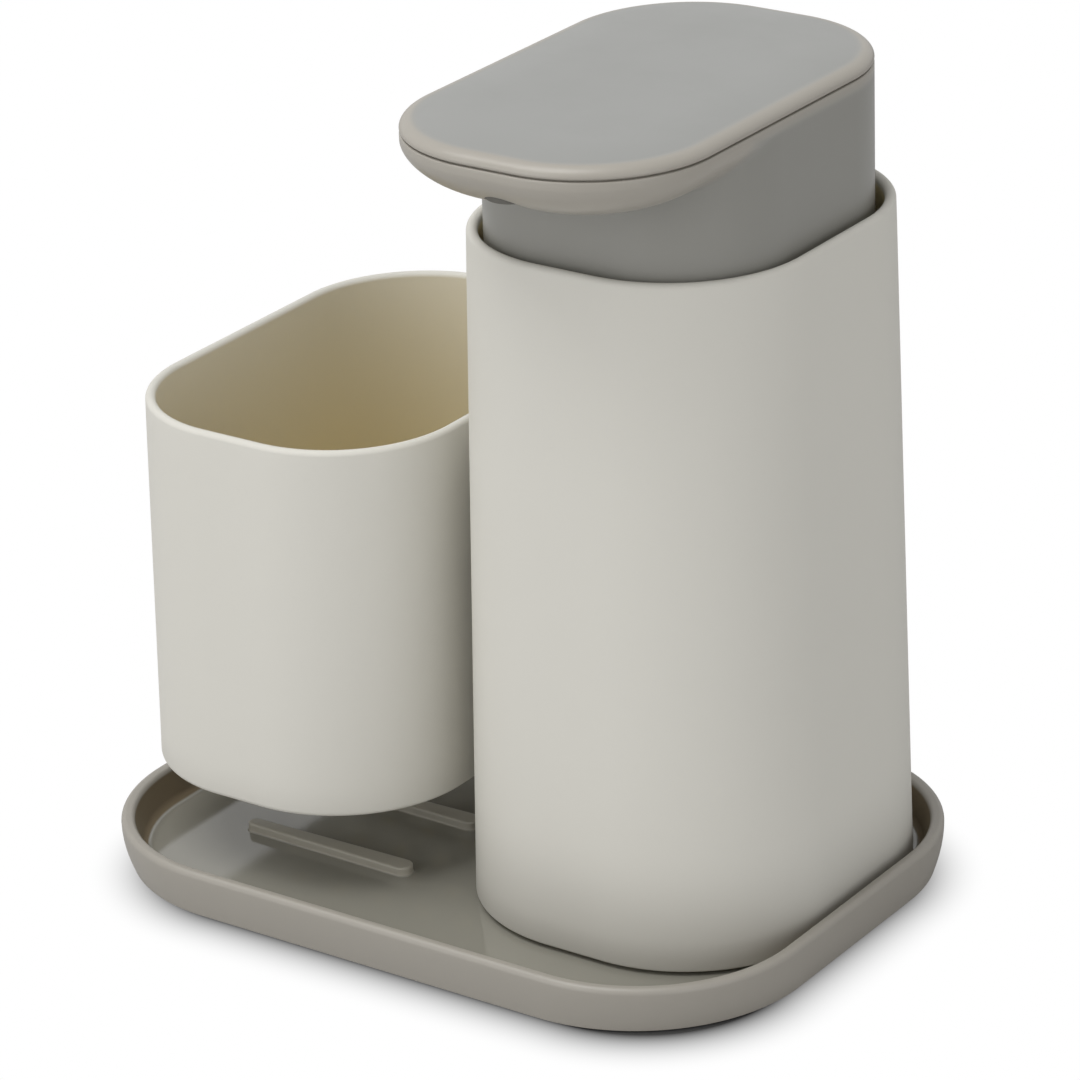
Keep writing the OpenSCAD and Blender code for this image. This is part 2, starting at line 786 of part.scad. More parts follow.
module inlet_ball() {
    color(steel)
    translate([body_x, body_y, ball_centre(inlet_seat_z, inlet_ball_d, inlet_seat_d)])
    sphere(r = inlet_ball_d / 2);
}

module outlet_ball() {
    color(steel)
    translate([body_x, body_y, ball_centre(outlet_seat_z, outlet_ball_d, outlet_seat_d)])
    sphere(r = outlet_ball_d / 2);
}

module piston_stem() {
    outer = stem_d / 2;
    waist = stem_waist_d / 2;
    foot = stem_foot_d / 2;
    bore = stem_bore_d / 2;
    chamber = outlet_chamber_d / 2;
    foot_z = piston_bottom - stem_foot_t;
    ball_top = ball_centre(outlet_seat_z, outlet_ball_d, outlet_seat_d) + outlet_ball_d / 2;
    chamber_top = ball_top + ball_lift;
    seat = outlet_seat_d / 2;
    color(natural)
    turned([
        [seat, foot_z], [foot, foot_z], [foot, piston_bottom], [waist, piston_bottom],
        [waist, piston_top], [outer, piston_top], [outer, stem_top], [bore, stem_top],
        [bore, chamber_top], [chamber, chamber_top], [chamber, outlet_seat_z], [seat, outlet_seat_z]
    ]);
}

module piston_seal() {
    outer = cylinder_bore_d / 2 - running_clear;
    bore = stem_waist_d / 2 + push_clear;
    groove = (outer + bore) / 2;
    third = piston_h / 3;
    color(rubber_grey)
    turned([
        [bore, piston_bottom], [outer, piston_bottom], [outer, piston_bottom + third],
        [groove, piston_bottom + third], [groove, piston_top - third], [outer, piston_top - third],
        [outer, piston_top], [bore, piston_top]
    ]);
}

// Path of the spring's wire from the seat to the piston, as radius, angle and level
spring_path = [
    for (i = [0 : spring_turns * spring_rings_per_turn])
    let (share = i / (spring_turns * spring_rings_per_turn))
    let (z = spring_seat + spring_wire_d / 2 + share * (spring_length - spring_wire_d))
    [spring_d / 2, 360 * share * spring_turns, z]
];
spring_pitch = (spring_length - spring_wire_d) / spring_turns;
echo(spring_gap = spring_pitch - spring_wire_d);

// Coil with a six-sided wire swept along its path, with flat ends
module return_spring() {
    rings = [
        for (p = spring_path) [
            for (k = [0 : spring_sides - 1])
            let (a = 360 * k / spring_sides)
            let (r = p[0] + cos(a) * spring_wire_d / 2)
            [body_x + r * cos(p[1]), body_y + r * sin(p[1]), p[2] + sin(a) * spring_wire_d / 2]
        ]
    ];
    color(steel)
    mirrored_loft(rings);
}

// Skin through rings that run clockwise about their path
module mirrored_loft(rings) {
    loft([for (r = rings) [for (j = [len(r) - 1 : -1 : 0]) r[j]]]);
}

module head_shell() {
    inner = head_rings(shell_wall);
    color(warm_grey)
    difference() {
        loft(concat(
            head_rings(0),
            [
                joined_ring([slab_section], seam_z - seam_groove),
                joined_ring([grown(slab_section, -seam_groove)], seam_z),
                joined_ring([grown(slab_section, -shell_wall)], seam_z)
            ],
            [for (i = [len(inner) - 1 : -1 : 0]) inner[i]]
        ), closed = true);
        translate([body_x, nozzle_y, keel_z - over])
        cylinder(r = outlet_d / 2, h = seam_z - keel_z);
    }
}

module head_cap() {
    round_h = cap_t - seam_groove;
    steps = 2 * edge_steps;
    lip = grown(slab_section, -shell_wall - cap_clear);
    color(warm_grey)
    loft(concat(
        [
            joined_ring([grown(lip, -cap_lip_w)], seam_z),
            joined_ring([grown(lip, -cap_lip_w)], seam_z - cap_lip_h),
            joined_ring([lip], seam_z - cap_lip_h),
            joined_ring([lip], seam_z),
            joined_ring([grown(slab_section, -seam_groove)], seam_z),
            joined_ring([slab_section], seam_z + seam_groove)
        ],
        [for (i = [1 : steps])
            let (a = 90 * i / steps)
            joined_ring([grown(slab_section, (cos(a) - 1) * cap_round_w)], cap_top + (sin(a) - 1) * round_h)]
    ));
}

module spout_channel() {
    tip_top = channel_z - tip_drop;
    spigot_r = channel_d / 2;
    color(natural)
    difference() {
        union() {
            translate([body_x, body_y, socket_bottom])
            cylinder(r = socket_d / 2, h = seam_z - socket_bottom);
            translate([body_x, body_y, channel_z])
            rotate([90, 0, 0])
            cylinder(r = channel_d / 2, h = body_y - nozzle_y);
            translate([body_x, nozzle_y, tip_top - tip_h + tip_end_t])
            cylinder(r = spigot_r, h = seam_z - cap_lip_h / 2 - tip_top + tip_h - tip_end_t);
        }
        translate([body_x, body_y, socket_bottom - over])
        cylinder(r = stem_d / 2 + push_clear, h = stem_top - socket_bottom + over);
        translate([body_x, body_y, stem_top - over])
        cylinder(r = channel_bore_d / 2, h = channel_z - stem_top + over);
        translate([body_x, body_y, channel_z])
        rotate([90, 0, 0])
        cylinder(r = channel_bore_d / 2, h = body_y - nozzle_y);
        translate([body_x, nozzle_y, tip_top - tip_h])
        cylinder(r = channel_bore_d / 2, h = channel_z - tip_top + tip_h);
    }
}

module nozzle_tip() {
    tip_top = channel_z - tip_drop;
    foot = tip_top - tip_h;
    outer = outlet_d / 2 - outlet_clear;
    inner = channel_d / 2 + push_clear;
    orifice = tip_orifice_d / 2;
    color(rubber_grey)
    turned([
        [orifice, foot], [outer, foot], [outer, tip_top], [inner, tip_top],
        [inner, foot + tip_end_t], [orifice, foot + tip_end_t]
    ], body_x, nozzle_y);
}

drip_tray();
tray_feet();
dispenser_body();
base_plate();
base_seal();
base_grip();
pump_deck();
deck_seal();
collar();
collar_gasket();
pump_cylinder();
stem_guide();
dip_tube();
return_spring();
inlet_ball();
head_shell();
head_cap();
piston_stem();
piston_seal();
spout_channel();
nozzle_tip();
outlet_ball();
brush_pot();
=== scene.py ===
import json
import math

import bpy
import numpy as np
from mathutils import Matrix, Vector


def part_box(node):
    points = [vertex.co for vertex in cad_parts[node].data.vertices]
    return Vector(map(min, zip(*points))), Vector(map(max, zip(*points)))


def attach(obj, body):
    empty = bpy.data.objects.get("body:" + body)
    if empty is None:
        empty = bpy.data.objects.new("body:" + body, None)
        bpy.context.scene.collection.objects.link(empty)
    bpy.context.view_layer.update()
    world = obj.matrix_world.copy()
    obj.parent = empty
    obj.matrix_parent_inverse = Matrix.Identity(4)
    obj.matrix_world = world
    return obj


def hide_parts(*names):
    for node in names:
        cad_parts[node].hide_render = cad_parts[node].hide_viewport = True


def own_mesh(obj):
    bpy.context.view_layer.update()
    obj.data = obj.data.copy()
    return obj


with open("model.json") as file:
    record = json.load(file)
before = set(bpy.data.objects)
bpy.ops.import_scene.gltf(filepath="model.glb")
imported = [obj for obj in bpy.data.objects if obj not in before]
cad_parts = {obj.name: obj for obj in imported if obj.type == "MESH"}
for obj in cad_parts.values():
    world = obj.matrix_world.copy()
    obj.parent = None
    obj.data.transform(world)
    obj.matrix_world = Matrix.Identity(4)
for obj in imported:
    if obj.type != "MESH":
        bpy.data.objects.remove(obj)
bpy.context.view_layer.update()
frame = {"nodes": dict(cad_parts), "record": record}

mm = 0.001

# Camera at the photograph's viewing angle
cameraView = {
    "azimuth": 35.14,
    "elevation": 23.39,
    "roll": -1.908,
    "place": (557.11 * mm, -784.71 * mm, 488.43 * mm),
    "lens": 169.24,
    "sensor": 36.0,
    "clipStart": 0.05,
    "clipEnd": 50.0,
}


# The back axis comes from azimuth and elevation; right and up are square to it and turned by the
# roll
def makeCamera(view):
    azimuth = math.radians(view["azimuth"])
    elevation = math.radians(view["elevation"])
    roll = math.radians(view["roll"])
    back = Vector((
        math.sin(azimuth) * math.cos(elevation),
        -math.cos(azimuth) * math.cos(elevation),
        math.sin(elevation),
    ))
    levelRight = Vector((math.cos(azimuth), math.sin(azimuth), 0))
    levelUp = back.cross(levelRight)
    right = math.cos(roll) * levelRight + math.sin(roll) * levelUp
    up = math.cos(roll) * levelUp - math.sin(roll) * levelRight
    data = bpy.data.cameras.new("photoCamera")
    data.sensor_width = view["sensor"]
    data.lens = view["lens"]
    data.clip_start = view["clipStart"]
    data.clip_end = view["clipEnd"]
    camera = bpy.data.objects.new("photoCamera", data)
    turn = Matrix((right, up, back)).transposed()
    camera.matrix_world = Matrix.Translation(view["place"]) @ turn.to_4x4()
    bpy.context.scene.collection.objects.link(camera)
    bpy.context.scene.camera = camera


makeCamera(cameraView)
bpy.context.scene.view_settings.view_transform = "Standard"
print("camera placed")


# One output socket: arithmetic on it adds Math nodes to its tree
class Wire:
    def __init__(self, paint, socket):
        self.paint = paint
        self.socket = socket

    def __add__(self, other):
        return self.paint.math("ADD", self, other)

    def __sub__(self, other):
        return self.paint.math("SUBTRACT", self, other)

    def __rsub__(self, other):
        return self.paint.math("SUBTRACT", other, self)

    def __mul__(self, other):
        return self.paint.math("MULTIPLY", self, other)

    def __pow__(self, other):
        return self.paint.math("POWER", self, other)

    __radd__ = __add__


# One node tree under construction
class Paint:
    def __init__(self, tree):
        self.tree = tree
        tree.nodes.clear()

    # Adds a node, sets its settings first and then the values or links of its sockets
    def node(self, kind, settings=None, sockets=None, output=0):
        made = self.tree.nodes.new(kind)
        for key, value in (settings or {}).items():
            setattr(made, key, value)
        for key, value in (sockets or {}).items():
            if isinstance(value, Wire):
                self.tree.links.new(value.socket, made.inputs[key])
            else:
                made.inputs[key].default_value = value
        return Wire(self, made.outputs[output]) if made.outputs else None

    # One Math node: the operation on two numbers or wires
    def math(self, operation, first, second=0.0):
        return self.node("ShaderNodeMath", {"operation": operation}, {0: first, 1: second})

    # Zero below low, one above high, smooth between
    def step(self, value, low, high):
        settings = {"interpolation_type": "SMOOTHSTEP"}
        return self.node("ShaderNodeMapRange", settings, {0: value, 1: low, 2: high})

    # Sockets 6 and 7 and output 2 are the ones for colours
    def mixColour(self, factor, first, second):
        sockets = {0: factor, 6: first, 7: second}
        return self.node("ShaderNodeMix", {"data_type": "RGBA"}, sockets, output=2)

    # Fractal noise between zero and one
    def noise(self, place, scale, detail=3.0, roughness=0.5):
        sockets = {"Vector": place, "Scale": scale, "Detail": detail, "Roughness": roughness}
        return self.node("ShaderNodeTexNoise", None, sockets)

    # Object coordinates
    def place(self):
        return self.node("ShaderNodeTexCoord", output=3)

    # A vector's x, y or z, counted from 0
    def axis(self, vector, index):
        return self.node("ShaderNodeSeparateXYZ", None, {0: vector}, output=index)

    # Object coordinates stretched along each axis, for grain that runs one way
    def stretched(self, place, scale):
        return self.node("ShaderNodeMapping", None, {"Vector": place, "Scale": scale})

    # The number that a mesh carries for each point under this name
    def attribute(self, name):
        return self.node("ShaderNodeAttribute", {"attribute_name": name}, output=2)

    # A height of nought to one as a relief of the given depth, on top of another normal
    def bump(self, height, distance, normal=None):
        sockets = {"Height": height, "Distance": distance}
        if normal is not None:
            sockets["Normal"] = normal
        return self.node("ShaderNodeBump", None, sockets)


# A material with one Principled shader; what varies comes as wires, the rest as plain values
def makeMaterial(name, build):
    material = bpy.data.materials.new(name)
    material.use_nodes = True
    paint = Paint(material.node_tree)
    shader = paint.node("ShaderNodeBsdfPrincipled", None, build(paint))
    paint.node("ShaderNodeOutputMaterial", None, {"Surface": shader})
    return material


# A socket's colour, made lighter or darker by a share
def colour(base, share=0.0):
    return (*[value * (1 + share) for value in base], 1.0)


# Noise settings that the moulded plastics share
skin = {
    "driftScale": 22.0,
    "fleckScale": 900.0,
    "fleckLevels": (0.62, 0.78),
    "fleckShare": 0.5,
    "detail": 2.0,
    "rubDetail": 4.0,
    "roughDetail": 0.6,
    "grainScale": 2600.0,
    "waveScale": 38.0,
    "waveDetail": 1.0,
}


# Colour of the satin plastic with a slow drift in tone and a fine fleck
def driftedColour(paint, place, base, drift, fleck):
    slow = paint.noise(place, skin["driftScale"], skin["detail"])
    fine = paint.noise(place, skin["fleckScale"], skin["detail"])
    toned = paint.mixColour(slow, colour(base, -drift), colour(base, drift))
    flecks = paint.step(fine, *skin["fleckLevels"]) * skin["fleckShare"]
    return paint.mixColour(flecks, toned, colour(base, -fleck))


# Moulded skin: a fine grain over a faint long wave of the tool's polish
def mouldedBump(paint, place, finish, normal=None):
    fine = paint.noise(place, skin["grainScale"], skin["detail"], skin["roughDetail"])
    slow = paint.noise(place, skin["waveScale"], skin["waveDetail"])
    return paint.bump(fine, finish["grain"], paint.bump(slow, finish["wave"], normal))


# Roughness that hands and cloths add: a coarse noise cut between two levels
def rubbed(paint, place, finish):
    coarse = paint.noise(place, finish["rubScale"], skin["rubDetail"], skin["roughDetail"])
    return paint.step(coarse, *finish["rubLevels"]) * finish["rubbed"]


bodyFinish = {
    "outside": (0.690, 0.674, 0.618),
    # Painted shade: the darker tan inside the pot and inside the sleeve's mouth
    "inside": (0.725, 0.625, 0.370),
    # Painted shade: the colour that the lowest part of the sleeve darkens towards
    "foot": (0.30, 0.29, 0.26),
    "footShadeShare": 0.45,
    "footShadeLevels": (2 * mm, 30 * mm),
    "drift": 0.012,
    "fleck": 0.02,
    "roughness": 0.52,
    "rubScale": 60.0,
    "rubLevels": (0.35, 0.75),
    "rubbed": 0.06,
    "specular": 0.12,
    "grain": 0.012 * mm,
    "wave": 0.05 * mm,
}


# Satin stone plastic with painted shade: darker at the very foot, and a darker tan inside the
# vessels, where "inner" says how far inside a vessel a point is
def bodyMaterial(paint):
    finish = bodyFinish
    place = paint.place()
    outside = driftedColour(paint, place, finish["outside"], finish["drift"], finish["fleck"])
    # Painted shade: the inside colour stands in for the shade and coloured bounce light inside the
    # vessels
    inside = driftedColour(paint, place, finish["inside"], finish["drift"], finish["fleck"])
    # Painted shade at the very foot of the sleeve, where the tray shades it
    foot = 1 - paint.step(paint.axis(place, 2), *finish["footShadeLevels"])
    toned = paint.mixColour(foot * finish["footShadeShare"], outside, colour(finish["foot"]))
    return {
        "Base Color": paint.mixColour(paint.attribute("inner"), toned, inside),
        "Roughness": finish["roughness"] + rubbed(paint, place, finish),
        "Specular IOR Level": finish["specular"],
        "Normal": mouldedBump(paint, place, finish),
    }


trayFinish = {
    "outside": (0.330, 0.308, 0.270),
    # Painted shade: the browner inner wall
    "wall": (0.205, 0.158, 0.096),
    # Painted light: the ribs are paler, standing in for the light that the pot keeps off them
    "rib": (0.430, 0.408, 0.345),
    "floor": (0.285, 0.276, 0.236),
    "drift": 0.015,
    "fleck": 0.02,
    "floorDrift": 0.012,
    "floorFleck": 0.01,
    "innerLevels": (0.05, 0.45),
    "floorLevels": (0.6, 0.95),
    "roughness": 0.42,
    "wallRoughness": 0.60,
    "gloss": 0.05,
    "rubScale": 45.0,
    "rubLevels": (0.4, 0.8),
    "rubbed": 0.02,
    "specular": 0.62,
    "lean": 0.075,
    "grain": 0.006 * mm,
    "wave": 0.02 * mm,
}


# Satin taupe outside; the ribs, which the attribute "rib" marks, are paler, painted light; "inner"
# is a half on the inner wall, painted browner as painted shade, and one on the polished floor,
# whose normal leans as the real one's seems to
def trayMaterial(paint):
    finish = trayFinish
    place = paint.place()
    outside, wall, rib = (
        driftedColour(paint, place, finish[zone], finish["drift"], finish["fleck"])
        for zone in ("outside", "wall", "rib")
    )
    floor = driftedColour(
        paint, place, finish["floor"], finish["floorDrift"], finish["floorFleck"],
    )
    inner = paint.attribute("inner")
    isInner = paint.step(inner, *finish["innerLevels"])
    isFloor = paint.step(inner, *finish["floorLevels"])
    # Painted shade: the inner wall takes the browner wall colour
    withWallShade = paint.mixColour(isInner, outside, wall)
    gloss = finish["gloss"] + rubbed(paint, place, finish)
    satin = finish["roughness"] + isInner * (finish["wallRoughness"] - finish["roughness"])
    leaning = paint.node("ShaderNodeVectorMath", {"operation": "MULTIPLY_ADD"}, {
        0: paint.node("ShaderNodeCombineXYZ", None, {0: isFloor}),
        1: (-finish["lean"], 0.0, 0.0),
        2: paint.node("ShaderNodeNewGeometry", output=1),
    })
    smooth = paint.mixColour(isFloor, withWallShade, floor)
    return {
        # Painted light: the paler rib colour on the ribs
        "Base Color": paint.mixColour(paint.attribute("rib"), smooth, rib),
        "Roughness": satin + isFloor * (gloss - satin),
        "Specular IOR Level": finish["specular"],
        "Normal": mouldedBump(paint, place, finish, leaning),
    }


headFinish = {
    "top": (0.312, 0.314, 0.300),
    # Painted shade: the darker olive skirt under the overhang
    "skirt": (0.286, 0.281, 0.257),
    # Painted light: beige bounce light and highlight on the lip and the cap's rounded edge
    "edge": (0.385, 0.360, 0.316),
    "drift": 0.012,
    "fleck": 0.02,
    "roughness": 0.33,
    "rubScale": 55.0,
    "rubLevels": (0.35, 0.75),
    "rubbed": 0.07,
    "grain": 0.012 * mm,
    "wave": 0.04 * mm,
}


# Satin warm grey; the skirt's darker olive is painted shade under the overhang; "inner" says how
# beige a point is, as at the lip, where the beige is painted bounce light and highlight
def headMaterial(paint):
    finish = headFinish
    place = paint.place()
    top, skirtPaintedShade, edge = (
        driftedColour(paint, place, finish[zone], finish["drift"], finish["fleck"])
        for zone in ("top", "skirt", "edge")
    )
    # Painted shade on the skirt below the overhang
    neutral = paint.mixColour(paint.attribute("skirt"), top, skirtPaintedShade)
    return {
        # Painted bounce light and highlight where "inner" is one
        "Base Color": paint.mixColour(paint.attribute("inner"), neutral, edge),
        "Roughness": finish["roughness"] + rubbed(paint, place, finish),
        "Normal": mouldedBump(paint, place, finish),
    }


pumpFinish = {
    "dark": (0.70, 0.70, 0.66),
    "light": (0.78, 0.78, 0.75),
    "cloudScale": 70.0,
    "cloudDetail": 2.0,
    "flowScale": 420.0,
    "flowStretch": (1.0, 1.0, 0.12),
    "flowDepth": 0.02 * mm,
    "flowRoughness": 0.12,
    "roughness": 0.24,
    "glow": 0.15,
    "glowRadius": (2.0 * mm, 2.0 * mm, 1.8 * mm),
}


# Natural polypropylene: milky, with faint flow lines along the part
def pumpMaterial(paint):
    finish = pumpFinish
    place = paint.place()
    flow = paint.noise(paint.stretched(place, finish["flowStretch"]), finish["flowScale"])
    cloud = paint.noise(place, finish["cloudScale"], finish["cloudDetail"])
    return {
        "Base Color": paint.mixColour(cloud, colour(finish["dark"]), colour(finish["light"])),
        "Roughness": finish["roughness"] + flow * finish["flowRoughness"],
        "Normal": paint.bump(flow, finish["flowDepth"]),
        "Subsurface Weight": finish["glow"],
        "Subsurface Radius": finish["glowRadius"],
        "Subsurface Scale": 1.0,
    }


rubberFinish = {
    "dark": (0.125, 0.120, 0.105),
    "light": (0.185, 0.178, 0.160),
    "dustScale": 160.0,
    "dustDetail": 4.0,
    "dustLevels": (0.5, 0.85),
    "dustRoughness": 0.2,
    "grainScale": 1500.0,
    "grainDetail": 3.0,
    "noiseRoughness": 0.7,
    "grain": 0.03 * mm,
    "roughness": 0.62,
}


# Soft grey rubber with a matt, slightly dusty skin
def rubberMaterial(paint):
    finish = rubberFinish
    place = paint.place()
    rough = finish["noiseRoughness"]
    coarse = paint.noise(place, finish["dustScale"], finish["dustDetail"], rough)
    fine = paint.noise(place, finish["grainScale"], finish["grainDetail"], rough)
    dust = paint.step(coarse, *finish["dustLevels"])
    return {
        "Base Color": paint.mixColour(dust, colour(finish["dark"]), colour(finish["light"])),
        "Roughness": finish["roughness"] + dust * finish["dustRoughness"],
        "Normal": paint.bump(fine, finish["grain"]),
    }


steelFinish = {
    "dark": (0.56, 0.56, 0.57),
    "light": (0.70, 0.70, 0.71),
    "lineScale": 900.0,
    "lineDetail": 2.0,
    "lineStretch": (1.0, 1.0, 6.0),
    "lineDepth": 0.01 * mm,
    "lineRoughness": 0.16,
    "roughness": 0.2,
}


# Bright spring wire with fine drawing lines
def steelMaterial(paint):
    finish = steelFinish
    place = paint.stretched(paint.place(), finish["lineStretch"])
    lines = paint.noise(place, finish["lineScale"], finish["lineDetail"])
    return {
        "Base Color": paint.mixColour(lines, colour(finish["dark"]), colour(finish["light"])),
        "Metallic": 1.0,
        "Roughness": finish["roughness"] + lines * finish["lineRoughness"],
        "Normal": paint.bump(lines, finish["lineDepth"]),
    }


materials = {
    "body_plastic": makeMaterial("satinStone", bodyMaterial),
    "tray_plastic": makeMaterial("satinTaupe", trayMaterial),
    "head_plastic": makeMaterial("satinWarmGrey", headMaterial),
    "pump_plastic": makeMaterial("naturalPlastic", pumpMaterial),
    "soft_rubber": makeMaterial("softRubber", rubberMaterial),
    "spring_steel": makeMaterial("springSteel", steelMaterial),
}
for part in frame["record"]["subparts"]:
    node = frame["nodes"][part["node"]]
    node.data.materials.clear()
    node.data.materials.append(materials[part["material_slot"]])
print("materials made:", len(materials))


# Centre, half sizes and corner radius of a rounded rectangle, as one array
def section(centreX, centreY, halfX, halfY, radius):
    return np.array([centreX, centreY, halfX, halfY, radius], float)


# A section grown outwards by a distance, or by one distance for each ring
def grown(base, distance):
    out = np.array(np.broadcast_to(base, np.shape(distance) + (5,)), float)
    out[..., 2:] += np.asarray(distance, float)[..., None]
    return out


# Each quarter turns the corner's radius about the corner's centre, and flats join the quarters
def sectionRings(sections, levels, cornerSteps=40):
    quarter = np.linspace(0, math.pi / 2, cornerSteps + 1)
    angle = (np.arange(4)[:, None] * math.pi / 2 + quarter[None]).ravel()
    side = np.repeat([1.0, -1.0, -1.0, 1.0], cornerSteps + 1)
    end = np.repeat([1.0, 1.0, -1.0, -1.0], cornerSteps + 1)
    sections = np.atleast_2d(sections)
    centreX, centreY, halfX, halfY, radius = (sections[:, i, None] for i in range(5))
    x = centreX + side * (halfX - radius) + radius * np.cos(angle)
    y = centreY + end * (halfY - radius) + radius * np.sin(angle)
    z = np.broadcast_to(np.asarray(levels, float)[:, None], x.shape)
    return np.stack([x, y, z], axis=2)


# A quarter ellipse from one pair of growth and level to another; the growth changes first, or the
# level where "out" is off
def quarterArc(start, finish, steps, out=True):
    turn = np.linspace(0, math.pi / 2, steps + 1)
    first, second = np.sin(turn), 1 - np.cos(turn)
    if not out:
        first, second = second, first
    growth = start[0] + (finish[0] - start[0]) * first
    level = start[1] + (finish[1] - start[1]) * second
    return np.stack([growth, level], axis=1)


# A vessel's rounded rim: a half circle over the wall, from the outer face to the inner one
def rimArc(top, wall, steps=24):
    turn = np.linspace(0, math.pi, steps + 1)
    growth = (np.cos(turn) - 1) * wall / 2
    level = top - wall / 2 + np.sin(turn) * wall / 2
    return np.stack([growth, level], axis=1)


# Quads between neighbouring rings of a grid; the two ends are fanned from their middles unless the
# last ring is joined to the first
def gridMesh(name, rings, closed=False):
    ringCount, pointCount = rings.shape[:2]
    vertices = rings.reshape(-1, 3)
    around = np.arange(pointCount)
    after = (around + 1) % pointCount
    ring = np.arange(ringCount if closed else ringCount - 1)[:, None]
    this = ring * pointCount
    above = (ring + 1) % ringCount * pointCount
    quads = np.stack([this + around, above + around, above + after, this + after], axis=2)
    faces = quads.reshape(-1, 4)[:, ::-1].tolist()
    if not closed:
        middle = len(vertices)
        last = middle - pointCount
        vertices = np.vstack([vertices, rings[0].mean(axis=0), rings[-1].mean(axis=0)])
        lowMiddle = np.full(pointCount, middle)
        faces += np.stack([lowMiddle, after, around], axis=1).tolist()
        faces += np.stack([last + around, last + after, lowMiddle + 1], axis=1).tolist()
    mesh = bpy.data.meshes.new(name)
    mesh.from_pydata(vertices.tolist(), [], faces)
    mesh.update()
    piece = bpy.data.objects.new(name, mesh)
    bpy.context.scene.collection.objects.link(piece)
    return piece


# An upright rod between two levels
def rod(name, x, y, radius, levels, cornerSteps):
    circle = section(x, y, radius, radius, radius)
    return gridMesh(name, sectionRings([circle, circle], levels, cornerSteps))


# A box with its upright edges rounded, as a section carried up between two levels
def roundedBlock(name, low, high, radius, cornerSteps=5):
    middle = [(a + b) / 2 for a, b in zip(low, high)]
    half = [(b - a) / 2 for a, b in zip(low, high)]
    shape = section(middle[0], middle[1], half[0], half[1], radius)
    return gridMesh(name, sectionRings([shape, shape], [low[2], high[2]], cornerSteps))


# Joins parts that lie in one another into one mesh, or cuts the second out of the first
def combine(piece, tool, operation):
    modifier = piece.modifiers.new("combine", "BOOLEAN")
    modifier.operation = operation
    modifier.solver = "EXACT"
    modifier.object = tool
    graph = bpy.context.evaluated_depsgraph_get()
    made = bpy.data.meshes.new_from_object(piece.evaluated_get(graph))
    piece.modifiers.clear()
    piece.data = made
    bpy.data.objects.remove(tool)


# Degrees between two faces from which on the edge between them stays sharp
sharpAngle = 35.0


# Smooth shading with sharp edges past an angle, the finish, and the body that the piece rides on
def dress(piece, nodes, slot, body):
    mesh = piece.data
    mesh.polygons.foreach_set("use_smooth", np.ones(len(mesh.polygons), bool))
    mesh.set_sharp_from_angle(angle=math.radians(sharpAngle))
    mesh.materials.clear()
    mesh.materials.append(materials[slot])
    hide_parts(*nodes)
    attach(piece, body)
    print(piece.name, "made:", len(mesh.polygons), "faces")


# Writes a number for each point, which the finishes read as an attribute
def mark(piece, name, rule):
    mesh = piece.data
    points = np.zeros(len(mesh.vertices) * 3, np.float32)
    mesh.vertices.foreach_get("co", points)
    values = rule(points.reshape(-1, 3).astype(float))
    attribute = mesh.attributes.new(name, "FLOAT", "POINT")
    attribute.data.foreach_set("value", values.astype(np.float32))


# Smooth rise from zero to one between two values
def ease(value, low, high):
    share = np.clip((value - low) / (high - low), 0, 1)
    return share * share * (3 - 2 * share)


# Signed distance of points from a rounded rectangle
def sectionDistance(points, shape):
    radius = shape[..., 4]
    gap = np.abs(points - shape[..., 0:2]) - shape[..., 2:4] + radius[..., None]
    outside = np.linalg.norm(np.maximum(gap, 0), axis=-1)
    return outside + np.minimum(gap.max(axis=-1), 0) - radius


# Direction away from a rounded rectangle: from the corner's centre, or square to the nearer side
def sectionNormal(points, shape):
    offset = points - shape[..., 0:2]
    gap = np.abs(offset) - shape[..., 2:4] + shape[..., 4, None]
    flat = np.where(gap == gap.max(axis=-1, keepdims=True), 1.0, 0.0)
    corner = np.maximum(gap, 0)
    length = np.linalg.norm(corner, axis=-1, keepdims=True)
    away = np.where(length > 0, corner / np.maximum(length, 1e-12), flat)
    return away * np.where(offset < 0, -1.0, 1.0)


bodyLow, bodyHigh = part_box("dispenser_body")
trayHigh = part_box("drip_tray")[1]
potLow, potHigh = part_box("brush_pot")
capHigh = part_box("head_cap")[1]
shellLow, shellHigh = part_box("head_shell")
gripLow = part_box("base_grip")[0]
deckLow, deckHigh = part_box("pump_deck")
overrun = 1.0 * mm

